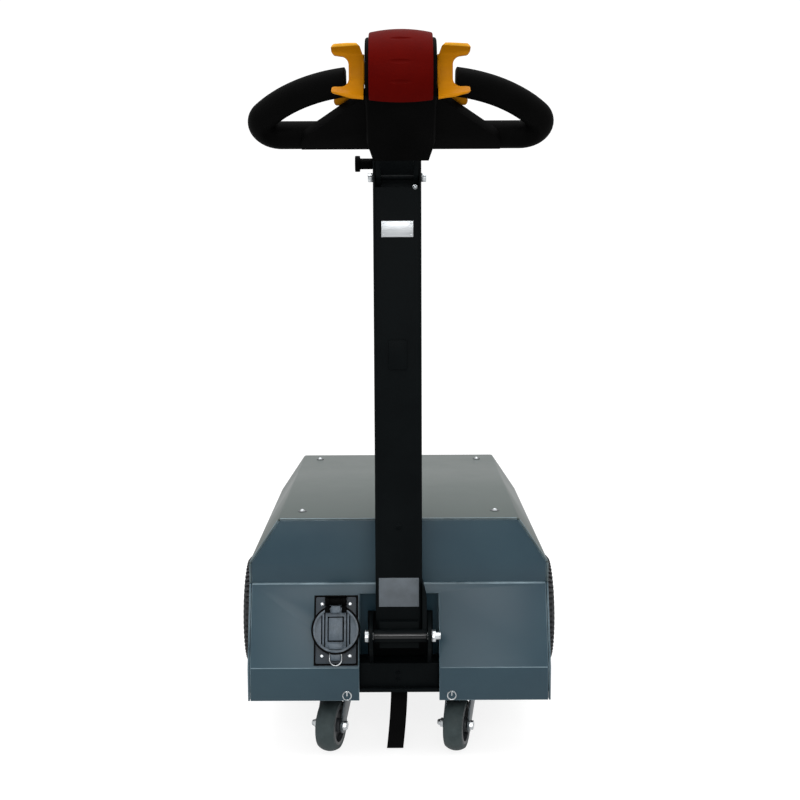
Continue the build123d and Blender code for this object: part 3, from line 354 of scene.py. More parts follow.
def pressed_rubber():
    """Pressed black rubber sheet, matt."""
    return surfaced(
        "pressed_rubber", ("#030303", "#060606"), 25, 1.0, 0.06, (0.65, 0.8),
        Specular_IOR_Level=0.03,
    )


def cast_iron():
    """Sand-cast gearcase under dull grey primer."""
    return surfaced(
        "cast_iron", ("#43474A", "#585C5F"), 30, 2.2, 0.3, (0.6, 0.75),
        Specular_IOR_Level=0.4,
    )


def battery_case():
    """Moulded polypropylene battery case, dark grey."""
    return surfaced(
        "battery_case", ("#26282B", "#303336"), 50, 1.5, 0.05, (0.45, 0.55),
        Specular_IOR_Level=0.4,
    )


def rim_enamel():
    """Pressed wheel in silver enamel."""
    return surfaced(
        "rim_enamel", ("#9EA1A2", "#B4B7B8"), 40, 1.6, 0.04, (0.32, 0.42),
        Metallic=0.35,
    )


def terminal_lead():
    """Cast lead of the battery posts, dull grey."""
    return surfaced(
        "terminal_lead", ("#5C5F63", "#7A7D80"), 5, 0.8, 0.05, (0.45, 0.6),
        Metallic=1.0,
    )


BRUSH_MM = 0.9


def brushed_plate():
    """Blank aluminium plate with a fine brushed grain along its length, drawn coarse enough to show."""
    material = bpy.data.materials.get("brushed_plate")
    if material:
        return material
    material = bpy.data.materials.new("brushed_plate")
    material.use_nodes = True
    tree = material.node_tree
    shader = tree.nodes["Principled BSDF"]
    shader.inputs["Metallic"].default_value = 0.85
    place = add_node(tree, "ShaderNodeTexCoord").outputs["Object"]
    stretch = add_node(tree, "ShaderNodeMapping", {"Scale": (0.03, 1.0, 1.0)}, {"Vector": place})
    lines = add_node(
        tree,
        "ShaderNodeTexNoise",
        {"Scale": 1000 / BRUSH_MM, "Detail": 3.0},
        {"Vector": stretch.outputs["Vector"]},
    )
    ramp = add_node(tree, "ShaderNodeValToRGB", None, {"Fac": lines.outputs["Fac"]})
    ramp.color_ramp.elements[0].color = linear("#8A8D90")
    ramp.color_ramp.elements[1].color = linear("#B4B7B9")
    tree.links.new(ramp.outputs["Color"], shader.inputs["Base Color"])
    polish = add_node(
        tree, "ShaderNodeMapRange", {"To Min": 0.28, "To Max": 0.5}, {"Value": lines.outputs["Fac"]}
    )
    tree.links.new(polish.outputs["Result"], shader.inputs["Roughness"])
    return material


def etched_plate():
    """Blank rating plate in grey anodised aluminium, satin."""
    return surfaced(
        "etched_plate", ("#3A4045", "#464D53"), 20, 0.8, 0.02, (0.4, 0.52),
        Metallic=0.2,
    )


def floor_paper():
    """Seamless studio paper lit a little from behind: pale, matt, with a faint fibre."""
    return surfaced(
        "floor_paper", ("#707070", "#767676"), 600, 4.0, 0.02, (0.85, 0.95), Specular_IOR_Level=0.1,
        Emission_Color=(1.0, 1.0, 1.0, 1.0), Emission_Strength=0.84,
    )


# Mesh tools

def finish_piece(name, mesh_edit, body, material, replaced=()):
    """Write a bmesh out as a piece at the origin, riding on its body."""
    mesh = bpy.data.meshes.new(name)
    bmesh.ops.recalc_face_normals(mesh_edit, faces=mesh_edit.faces)
    mesh_edit.to_mesh(mesh)
    mesh_edit.free()
    mesh.materials.append(material)
    for face in mesh.polygons:
        face.use_smooth = True
    mesh.set_sharp_from_angle(angle=SHARP)
    piece = bpy.data.objects.new(name, mesh)
    bpy.context.scene.collection.objects.link(piece)
    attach(piece, body)
    if replaced:
        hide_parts(*replaced)
    return piece


def bevel(mesh_edit, edges, width, segments=2):
    """Round edges off."""
    bmesh.ops.bevel(
        mesh_edit, geom=list(edges), offset=width, offset_type="OFFSET", affect="EDGES",
        segments=segments, profile=0.5, material=-1, clamp_overlap=True,
    )


def sharp_edges(mesh_edit, degrees):
    """Edges where two faces meet at more than an angle."""
    limit = radians(degrees)
    return [e for e in mesh_edit.edges if len(e.link_faces) == 2 and e.calc_face_angle(0) > limit]


def solid_copy(node):
    """A bmesh of a solid, with its triangles joined."""
    copy = bmesh.new()
    copy.from_mesh(frame["nodes"][node].data)
    bmesh.ops.remove_doubles(copy, verts=copy.verts, dist=MERGE)
    return copy


def merge_flats(mesh_edit):
    """Join the triangles of each flat face."""
    bmesh.ops.dissolve_limit(mesh_edit, angle_limit=FLAT, verts=mesh_edit.verts, edges=mesh_edit.edges)


def broken_edges(node, width, material, segments=2, degrees=32):
    """A copy of a solid with its sharp edges broken, which stands for the solid."""
    copy = solid_copy(node)
    merge_flats(copy)
    bevel(copy, sharp_edges(copy, degrees), width, segments)
    return finish_piece(f"{node}_skin", copy, frame["nodes"][node]["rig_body"], material, [node])


def paint_edge_highlights(piece, material, reach):
    """A paler second finish, a painted highlight, on the long narrow faces along folds and edges, from a
    piece's rear to a reach.
    """
    mesh = piece.data
    mesh.materials.append(material)
    for face in mesh.polygons:
        corners = [mesh.vertices[i].co for i in face.vertices]
        longest = max((a - b).length for a, b in zip(corners, corners[1:] + corners[:1]))
        narrow = longest > HIGHLIT_LENGTH and face.area / longest < HIGHLIT_WIDTH
        if narrow and face.center.y < reach:
            face.material_index = 1


def paint_node(node, material):
    """A finish for a solid that shows as it is."""
    mesh = frame["nodes"][node].data
    mesh.materials.clear()
    mesh.materials.append(material)


def trim(mesh_edit, point, out):
    """Cut away what lies beyond a plane, and close the cut."""
    whole = mesh_edit.verts[:] + mesh_edit.edges[:] + mesh_edit.faces[:]
    cut = bmesh.ops.bisect_plane(mesh_edit, geom=whole, plane_co=point, plane_no=out, clear_outer=True)
    rim = [e for e in cut["geom_cut"] if isinstance(e, bmesh.types.BMEdge)]
    bmesh.ops.holes_fill(mesh_edit, edges=rim, sides=0)


def place_on(point, out, up=None):
    """A matrix at a point whose Z axis points out of the surface there."""
    out = Vector(out).normalized()
    if up is None:
        turn = out.to_track_quat("Z", "Y").to_matrix().to_4x4()
        return Matrix.Translation(Vector(point)) @ turn
    up = Vector(up).normalized()
    across = up.cross(out)
    turn = Matrix((across, up, out)).transposed().to_4x4()
    return Matrix.Translation(Vector(point)) @ turn


def on_slope(across, up, out):
    """A point on the charging socket: across and up its plate, and out from the plate's face."""
    face = SOCKET_MIDDLE + SLOPE_OUT * PLATE_FACE
    return face + Vector((across, 0, 0)) + SLOPE_UP * up + SLOPE_OUT * out


def add_disc(mesh_edit, place, radius, low, high, segments, edge, top_radius=None):
    """A round solid along the place's Z axis, with its upper rim bevelled."""
    made = bmesh.ops.create_cone(
        mesh_edit, cap_ends=True, segments=segments, radius1=radius,
        radius2=radius if top_radius is None else top_radius, depth=high - low,
        matrix=place @ Matrix.Translation((0, 0, (low + high) / 2)),
    )
    top = place @ Vector((0, 0, high))
    axis = (place.to_3x3() @ Vector((0, 0, 1))).normalized()
    rim = {
        e for v in made["verts"] for e in v.link_edges
        if all(abs((w.co - top).dot(axis)) < WELD for w in e.verts)
    }
    bevel(mesh_edit, rim, edge, 3)


def add_block(mesh_edit, place, size, edge):
    """A bevelled block centred on a place."""
    made = bmesh.ops.create_cube(mesh_edit, size=1.0, matrix=place @ Matrix.Diagonal((*size, 1.0)))
    bevel(mesh_edit, {e for v in made["verts"] for e in v.link_edges}, edge)


def add_socket_screw(mesh_edit, place, radius, height, washer):
    """A button-head screw with a hexagon socket, on a washer."""
    add_disc(mesh_edit, place, washer, 0, 0.15 * height, 36, 0.2 * MM)
    made = bmesh.ops.create_cone(
        mesh_edit, cap_ends=True, segments=24, radius1=radius, radius2=radius * 0.62, depth=height,
        matrix=place @ Matrix.Translation((0, 0, height * 0.65)),
    )
    top = max(
        {f for v in made["verts"] for f in v.link_faces},
        key=lambda f: (place.inverted() @ f.calc_center_median()).z,
    )
    bmesh.ops.inset_region(mesh_edit, faces=[top], thickness=radius * 0.22)
    sunk = bmesh.ops.extrude_face_region(mesh_edit, geom=[top])
    moved = [v for v in sunk["geom"] if isinstance(v, bmesh.types.BMVert)]
    axis = place.to_3x3() @ Vector((0, 0, -height * 0.45))
    bmesh.ops.translate(mesh_edit, verts=moved, vec=axis)
    bmesh.ops.delete(mesh_edit, geom=[top], context="FACES_ONLY")


def add_hex_bolt(mesh_edit, place, radius, height, washer):
    """A hexagon bolt head with chamfered corners, on a washer."""
    add_disc(mesh_edit, place, washer, 0, 0.2 * height, 36, 0.3 * MM)
    add_disc(mesh_edit, place, radius, 0.2 * height, 1.1 * height, 6, 0.12 * radius)


def add_ring(mesh_edit, place, radius, thickness):
    """A round ring lying on a place."""
    made = bmesh.ops.create_circle(mesh_edit, cap_ends=False, radius=thickness, segments=10)
    lift = place @ Matrix.Translation((radius, 0, 0)) @ Matrix.Rotation(pi / 2, 4, "X")
    bmesh.ops.transform(mesh_edit, matrix=lift, verts=made["verts"])
    rim = list({e for v in made["verts"] for e in v.link_edges})
    axis = place.to_3x3() @ Vector((0, 0, 1))
    bmesh.ops.spin(
        mesh_edit, geom=made["verts"] + rim, cent=place.translation, axis=axis, angle=2 * pi, steps=64,
        use_merge=True,
    )
    bmesh.ops.remove_doubles(mesh_edit, verts=mesh_edit.verts, dist=WELD)


def add_wire(name, points, radius, body, material):
    """A round wire through points, made a mesh with closed ends."""
    curve = bpy.data.curves.new(name, "CURVE")
    curve.dimensions = "3D"
    curve.bevel_depth = radius
    curve.bevel_resolution = 3
    curve.resolution_u = 6
    curve.use_fill_caps = True
    line = curve.splines.new("BEZIER")
    line.bezier_points.add(len(points) - 1)
    for knot, point in zip(line.bezier_points, points):
        knot.co = point
        knot.handle_left_type = "AUTO"
        knot.handle_right_type = "AUTO"
    drawn = bpy.data.objects.new(name + "_line", curve)
    mesh = bpy.data.meshes.new_from_object(drawn)
    bpy.data.objects.remove(drawn)
    edit = bmesh.new()
    edit.from_mesh(mesh)
    bpy.data.meshes.remove(mesh)
    bmesh.ops.remove_doubles(edit, verts=edit.verts, dist=WELD)
    return finish_piece(name, edit, body, material)


# Settings

class TugSizes(bpy.types.PropertyGroup):
    """Sizes of the dressing that a user may change."""

    sheet_edge: FloatProperty(
        name="Sheet edge", description="Width of the broken edge on folded sheet", default=0.9 * MM,
        min=0.0, unit="LENGTH",
    )
    tread_depth: FloatProperty(
        name="Tread depth", description="Height of the drive tyres' blocks", default=4.5 * MM,
        min=0.0, unit="LENGTH",
    )
    tread_pitches: IntProperty(
        name="Tread pitches", description="Blocks round one shoulder of a drive tyre", default=60, min=12
    )
    screw_radius: FloatProperty(
        name="Screw head", description="Radius of the hood's screw heads", default=5.0 * MM,
        min=0.0, unit="LENGTH",
    )
    camera_height: FloatProperty(
        name="Camera height", description="Height of the camera above the floor", default=0.872,
        unit="LENGTH",
    )
    camera_distance: FloatProperty(
        name="Camera distance", description="Distance of the camera behind the origin", default=2.296,
        unit="LENGTH",
    )


class TugColours(bpy.types.PropertyGroup):
    """Colours of the dressing that a user may change."""

    enamel_dark_hex: StringProperty(
        name="Enamel, dark", description="Darker tone of the body enamel, as an sRGB hex code",
        default="#1D303A",
    )
    enamel_light_hex: StringProperty(
        name="Enamel, light", description="Lighter tone of the body enamel, as an sRGB hex code",
        default="#22363F",
    )
    backdrop: FloatVectorProperty(
        name="Backdrop", description="Colour of the light behind the machine", subtype="COLOR",
        default=(1.0, 1.0, 1.0), min=0.0, max=1.0,
    )


# Operators

class TUG_OT_stage(bpy.types.Operator):
    """Pale floor, soft studio light and the camera."""

    bl_idname = "tug.stage"
    bl_label = "Stage"

    def execute(self, context):
        sizes = context.scene.tug_sizes
        edit = bmesh.new()
        bmesh.ops.create_grid(edit, x_segments=1, y_segments=1, size=FLOOR_HALF)
        mesh = bpy.data.meshes.new("floor")
        edit.to_mesh(mesh)
        edit.free()
        mesh.materials.append(floor_paper())
        floor = bpy.data.objects.new("floor", mesh)
        context.scene.collection.objects.link(floor)

        world = bpy.data.worlds.new("studio")
        world.use_nodes = True
        tree = world.node_tree
        background = tree.nodes["Background"]
        direction = add_node(tree, "ShaderNodeTexCoord").outputs["Generated"]
        split = add_node(tree, "ShaderNodeSeparateXYZ", None, {"Vector": direction})
        behind = add_node(
            tree,
            "ShaderNodeMapRange",
            {"From Min": -0.95, "From Max": -0.38, "To Min": 0.05, "To Max": 1.06},
            {"Value": split.outputs["Y"]},
            interpolation_type="SMOOTHSTEP",
        )
        above = add_node(
            tree,
            "ShaderNodeMapRange",
            {"From Min": 0.25, "From Max": 0.8, "To Min": 0.0, "To Max": 0.75},
            {"Value": split.outputs["Z"]},
            interpolation_type="SMOOTHSTEP",
        )
        both = add_node(tree, "ShaderNodeMath", None, {0: behind.outputs[0], 1: above.outputs[0]})
        background.inputs["Color"].default_value = (*context.scene.tug_colours.backdrop, 1.0)
        tree.links.new(both.outputs["Value"], background.inputs["Strength"])
        context.scene.world = world

        # Columns: name, place, point it aims at, width, height, power in watts
        lamps = (
            ("softbox_over", (0.0, -0.5, 3.0), (0.0, -0.2, 0.0), 2.4, 2.4, 62.0),
            ("softbox_front", (0.0, -3.2, 1.75), (0.0, -0.2, 0.25), 2.8, 0.9, 62.0),
            ("softbox_left", (-2.6, -1.2, 1.9), (0.0, 0.0, 0.4), 1.4, 1.8, 9.0),
            ("softbox_right", (2.6, -1.2, 1.9), (0.0, 0.0, 0.4), 1.4, 1.8, 9.0),
        )
        for name, place, aim, width, height, power in lamps:
            light = bpy.data.lights.new(name, "AREA")
            light.shape = "RECTANGLE"
            light.size = width
            light.size_y = height
            light.energy = power
            lamp = bpy.data.objects.new(name, light)
            lamp.location = place
            lamp.rotation_euler = (Vector(aim) - Vector(place)).to_track_quat("-Z", "Y").to_euler()
            context.scene.collection.objects.link(lamp)

        camera_data = bpy.data.cameras.new("camera")
        camera_data.sensor_width = SENSOR_MM
        camera_data.lens = LENS_MM
        camera = bpy.data.objects.new("camera", camera_data)
        camera.location = (0.0, -sizes.camera_distance, sizes.camera_height)
        camera.rotation_euler = (pi / 2 - CAMERA_DOWN, CAMERA_ROLL, CAMERA_TURN)
        context.scene.collection.objects.link(camera)
        context.scene.camera = camera
        context.scene.view_settings.view_transform = "Standard"
        return {"FINISHED"}


class TUG_OT_sheet_body(bpy.types.Operator):
    """Enamelled hood, end plates and lower panels with painted highlights on their folds and sheet edges,
    the hood painted paler for the light above, and the black bearers.
    """

    bl_idname = "tug.sheet_body"
    bl_label = "Sheet body"

    def execute(self, context):
        edge = context.scene.tug_sizes.sheet_edge
        # Columns: node, slot
        sheets = (
            ("hood", "grey_paint"),
            ("hood_rear_plate", "end_paint"),
            ("hood_front_plate", "grey_paint"),
            ("rear_panel", "end_paint"),
            ("front_panel", "grey_paint"),
            ("side_panel_left", "grey_paint"),
            ("side_panel_right", "grey_paint"),
        )
        # The hood takes the paler grey enamel, a painted sheen of the light from above; the other sheets
        # take the slate enamel.
        for node, slot in sheets:
            sheet = broken_edges(node, edge, hood_enamel_painted_sheen() if node == "hood" else slate_enamel())
            # The long narrow faces along folds and edges take the pale painted highlight.
            paint_edge_highlights(sheet, edge_highlight_enamel(), HOOD_LOW.y + REAR_LIP if node == "hood" else HOOD_HIGH.y)
        # Columns: node, slot
        bearers = (
            ("floor_plate", "black_paint"),
            ("rear_beam", "end_paint"),
            ("chassis_rail_left", "black_paint"),
            ("chassis_rail_right", "black_paint"),
        )
        for node, slot in bearers:
            broken_edges(node, edge, black_powder_coat())
        return {"FINISHED"}


class TUG_OT_body_screws(bpy.types.Operator):
    """Screws of the hood, skirt, side panels and front panel."""

    bl_idname = "tug.body_screws"
    bl_label = "Body screws"

    def execute(self, context):
        radius = context.scene.tug_sizes.screw_radius
        edit = bmesh.new()
        washers = bmesh.new()
        for y in (HOOD_LOW.y + 55 * MM, HOOD_HIGH.y - 53 * MM):
            for x in (-HOOD_SCREW_X, HOOD_SCREW_X):
                place = place_on((x, y, HOOD_HIGH.z), (0, 0, 1))
                add_disc(washers, place, 1.5 * radius, 0, 1 * MM, 32, 0.3 * MM)
                add_disc(edit, place, 0.8 * radius, 1 * MM, 4 * MM, 24, 1 * MM, 0.5 * radius)
        for x in (-SKIRT_RING_X, SKIRT_RING_X):
            place = place_on((x, SKIRT_LOW.y, SKIRT_LOW.z + 8.5 * MM), (0, -1, 0))
            add_ring(edit, place, 7.0 * MM, 1.1 * MM)
            stud = place_on((x, SKIRT_LOW.y - 1 * MM, SKIRT_LOW.z + 12 * MM), (0, -1, 0), (0, 0, 1))
            add_block(edit, stud, (2.2 * MM, 7 * MM, 3 * MM), 0.6 * MM)
        for _, side in SIDES:
            for y in (HOOD_LOW.y + 30 * MM, HOOD_LOW.y + 170 * MM, HOOD_LOW.y + 310 * MM):
                place = place_on((side * HOOD_HIGH.x, y, HOOD_LOW.z - 16 * MM), (side, 0, 0))
                add_socket_screw(edit, place, 4.5 * MM, 3.0 * MM, 7.0 * MM)
        for x in (-200 * MM, 200 * MM):
            for z in (FRONT_LOW.z + 20 * MM, FRONT_HIGH.z - 20 * MM):
                place = place_on((x, FRONT_HIGH.y, z), (0, 1, 0))
                add_socket_screw(edit, place, 4.5 * MM, 3.0 * MM, 7.0 * MM)
        finish_piece("body_screws", edit, "chassis", zinc_plate())
        # The washers under the hood screws are dark grey, partly painted shade: their dark also stands for
        # the shade round each screw head.
        finish_piece("hood_washers", washers, "chassis", battery_case())
        return {"FINISHED"}


class TUG_OT_drive_tyres(bpy.types.Operator):
    """Drive tyres with block tread, standing for the plain tyres."""

    bl_idname = "tug.drive_tyres"
    bl_label = "Drive tyres"

    def execute(self, context):
        sizes = context.scene.tug_sizes
        for name, _ in SIDES:
            low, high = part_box(f"drive_tyre_{name}")
            middle = (low + high) / 2
            radius = (high.z - low.z) / 2
            half = (high.x - low.x) / 2
            crown = radius - sizes.tread_depth
            # Columns: distance across, radius; from the inner bead over the crown
            section = [
                (-24 * MM, 53 * MM),
                (-30 * MM, 60 * MM),
                (-half + 0.4 * MM, 74 * MM),
                (-half + 1.2 * MM, 86 * MM),
                (-30 * MM, crown - 10 * MM),
                (-25.5 * MM, crown - 4.2 * MM),
                (-15 * MM, crown - 1.2 * MM),
                (-13 * MM, crown - 1.0 * MM),
                (-3.5 * MM, crown - 0.1 * MM),
                (-1.5 * MM, crown),
            ]
            section += [(-x, r) for x, r in reversed(section)]
            edit = bmesh.new()
            line = [edit.verts.new(middle + Vector((x, 0, r))) for x, r in section]
            edges = [edit.edges.new(pair) for pair in zip(line, line[1:])]
            edges.append(edit.edges.new((line[-1], line[0])))
            steps = 2 * sizes.tread_pitches
            bmesh.ops.spin(
                edit, geom=line + edges, cent=middle, axis=(1, 0, 0), angle=2 * pi, steps=steps,
                use_merge=True,
            )
            bmesh.ops.remove_doubles(edit, verts=edit.verts, dist=WELD)
            bmesh.ops.recalc_face_normals(edit, faces=edit.faces)
            blocks = []
            for face in edit.faces:
                centre = face.calc_center_median() - middle
                across = abs(centre.x)
                turn = Vector((0, 1)).angle_signed(Vector((centre.y, centre.z))) % (2 * pi)
                step = int(turn / (2 * pi) * steps)
                shoulder = 14 * MM < across < 31 * MM and centre.yz.length > crown - 12 * MM
                rib = 3 * MM < across < 13.5 * MM and centre.yz.length > crown - 4 * MM
                if shoulder and step % 2 == (centre.x > 0):
                    blocks.append(face)
                if rib and step % 4 != (0 if centre.x > 0 else 2):
                    blocks.append(face)
            raised = bmesh.ops.extrude_face_region(edit, geom=blocks)
            lifted = [v for v in raised["geom"] if isinstance(v, bmesh.types.BMVert)]
            for vert in lifted:
                spoke = (vert.co - middle) * Vector((0, 1, 1))
                lean = Vector((0.25 if vert.co.x > middle.x else -0.25, 0, 0))
                lean *= min(1.0, max(0.0, (abs(vert.co.x - middle.x) - 20 * MM) / (8 * MM)))
                vert.co += (spoke.normalized() + lean).normalized() * sizes.tread_depth
            bmesh.ops.delete(edit, geom=[f for f in blocks if f.is_valid], context="FACES_ONLY")
            finish_piece(
                f"drive_tyre_{name}_tread", edit, f"drive_wheel_{name}", tyre_rubber(),
                [f"drive_tyre_{name}"],
            )
        return {"FINISHED"}


class TUG_OT_drive_rims(bpy.types.Operator):
    """Enamelled drive rims with their rolled edge, wheel bolts and valve."""

    bl_idname = "tug.drive_rims"
    bl_label = "Drive rims"

    def execute(self, context):
        for name, side in SIDES:
            body = f"drive_wheel_{name}"
            broken_edges(f"drive_rim_{name}", 0.8 * MM, rim_enamel())
            tyre_low, tyre_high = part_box(f"drive_tyre_{name}")
            hub = (tyre_low + tyre_high) / 2
            disc = hub.x + side * DISC_FACE
            edit = bmesh.new()
            for number in range(5):
                turn = (number + 0.5) * 2 * pi / 5
                point = (disc, hub.y + BOLT_CIRCLE * sin(turn), hub.z + BOLT_CIRCLE * cos(turn))
                add_hex_bolt(edit, place_on(point, (side, 0, 0)), 5.5 * MM, 5 * MM, 7 * MM)
            valve = place_on((disc - side * 1 * MM, hub.y, hub.z - 42.5 * MM), (side, 0, 0.25))
            add_disc(edit, valve, 2.6 * MM, 0, 9 * MM, 16, 0.4 * MM)
            finish_piece(f"wheel_bolts_{name}", edit, body, zinc_plate())
        return {"FINISHED"}


class TUG_OT_casters(bpy.types.Operator):
    """Plated caster forks and plates in zinc painted dark for the shade under the body, grey tyres, and the
    plates' bolts.
    """

    bl_idname = "tug.casters"
    bl_label = "Casters"

    def execute(self, context):
        edit = bmesh.new()
        for name, _ in SIDES:
            fork = broken_edges(f"caster_fork_{name}", 0.5 * MM, shaded_zinc(), degrees=40)
            fork.data.materials.append(zinc_plate())
            broken_edges(f"caster_plate_{name}", 0.5 * MM, shaded_zinc(), degrees=40)
            low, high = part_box(f"caster_plate_{name}")
            for x in (low.x + 9 * MM, high.x - 9 * MM):
                for y in (low.y + 10 * MM, high.y - 10 * MM):
                    place = place_on((x, y, high.z - 4 * MM), (0, 0, -1))
                    add_hex_bolt(edit, place, 5.5 * MM, 4.5 * MM, 7.5 * MM)
            wheel_low, wheel_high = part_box(f"caster_tyre_{name}")
            hub = (wheel_low + wheel_high) / 2
            out = Vector((-cos(CASTER_TURN), sin(CASTER_TURN), 0))
            # The fork takes the dark zinc, painted shade; only the nut's faces along the axle take the
            # bright zinc.
            for face in fork.data.polygons:
                face.material_index = int(abs((face.center - hub).dot(out)) > NUT_FACE)
            nut = bmesh.new()
            place = place_on(hub + out * NUT_END, out)
            add_disc(nut, place, 6.4 * MM, 0, 6 * MM, 24, 1.5 * MM, 4.2 * MM)
            finish_piece(f"caster_nut_{name}", nut, f"caster_{name}", zinc_plate())
            paint_node(f"caster_tyre_{name}", grey_caster_rubber())
            paint_node(f"caster_centre_{name}", battery_case())
        finish_piece("caster_bolts", edit, "chassis", zinc_plate())
        return {"FINISHED"}


class TUG_OT_tiller(bpy.types.Operator):
    """Powder-coated tiller tube with its blank plates, latch and screws, head bolt and plunger."""

    bl_idname = "tug.tiller"
    bl_label = "Tiller"

    def execute(self, context):
        broken_edges("tiller_tube", 0.6 * MM, black_powder_coat(), degrees=40)
        foot = broken_edges("tiller_foot", 0.8 * MM, black_powder_coat(), degrees=40)
        foot.data.materials.append(barrel_sheen_black())
        axis = (BOLT_LOW + BOLT_HIGH) / 2
        # Only the barrel's band of faces turned up and forward takes the glossier black, a painted highlight
        # line; the lower faces stay matt.
        for face in foot.data.polygons:
            on_barrel = (face.center - axis).yz.length < BARREL_REACH and abs(face.normal.x) < 0.3
            face.material_index = int(on_barrel and -0.1 < face.normal.z < 0.62)
        bolt = broken_edges("head_bolt", 0.6 * MM, zinc_plate(), degrees=40)
        # The shank between the tube's walls takes the black coat, painted shade inside the neck; the heads
        # stay zinc.
        bolt.data.materials.append(black_powder_coat())
        for face in bolt.data.polygons:
            face.material_index = int(abs(face.center.x) < TUBE_HIGH.x - 1 * MM)
        broken_edges("index_plunger", 1.2 * MM, moulded_black(), degrees=40)
        back = TUBE_LOW.y
        # Columns: name, height of its middle, width, height, finish
        plates = (
            ("upper_plate", 883 * MM, 50 * MM, 25 * MM, brushed_plate()),
            ("lower_plate", 298 * MM, 65 * MM, 48 * MM, etched_plate()),
        )
        for name, z, width, height, finish in plates:
            edit = bmesh.new()
            place = place_on((0, back - 0.4 * MM, z), (0, -1, 0), (0, 0, 1))
            add_block(edit, place, (width, height, 0.8 * MM), 0.25 * MM)
            for x in (-1, 1):
                for y in (-1, 1):
                    rivet = place @ Matrix.Translation(
                        (x * (width / 2 - 3.5 * MM), y * (height / 2 - 3.5 * MM), 0.3 * MM)
                    )
                    add_disc(edit, rivet, 1.4 * MM, 0, 0.8 * MM, 16, 0.3 * MM)
            finish_piece(name, edit, "tiller", finish)
        edit = bmesh.new()
        place = place_on((28 * MM, back, 948 * MM), (0, -1, 0))
        add_socket_screw(edit, place, 3.2 * MM, 2.4 * MM, 3.6 * MM)
        finish_piece("tiller_screw", edit, "tiller", zinc_plate())
        edit = bmesh.new()
        place = place_on((0, back, 406 * MM), (0, -1, 0))
        add_socket_screw(edit, place, 4.5 * MM, 2.4 * MM, 6 * MM)
        latch = place_on((0, back - 1 * MM, 685 * MM), (0, -1, 0), (0, 0, 1))
        add_block(edit, latch, (29 * MM, 47 * MM, 3 * MM), 1 * MM)
        finish_piece("tiller_latch", edit, "tiller", black_powder_coat())
        return {"FINISHED"}


class TUG_OT_tiller_bracket(bpy.types.Operator):
    """Powder-coated pivot bracket with its plated bolt, stop and fixing screws."""

    bl_idname = "tug.tiller_bracket"
    bl_label = "Tiller bracket"

    def execute(self, context):
        broken_edges("tiller_bracket", 0.9 * MM, black_powder_coat(), degrees=40)
        broken_edges("pivot_bolt", 0.9 * MM, zinc_plate(), degrees=40)
        edit = bmesh.new()
        for z in (BEAM_HIGH.z - 16 * MM, BEAM_HIGH.z - 27 * MM):
            place = place_on((-2 * MM, BEAM_LOW.y, z), (0, -1, 0))
            add_socket_screw(edit, place, 3.2 * MM, 2.2 * MM, 4.2 * MM)
        finish_piece("beam_screws", edit, "chassis", black_powder_coat())
        return {"FINISHED"}


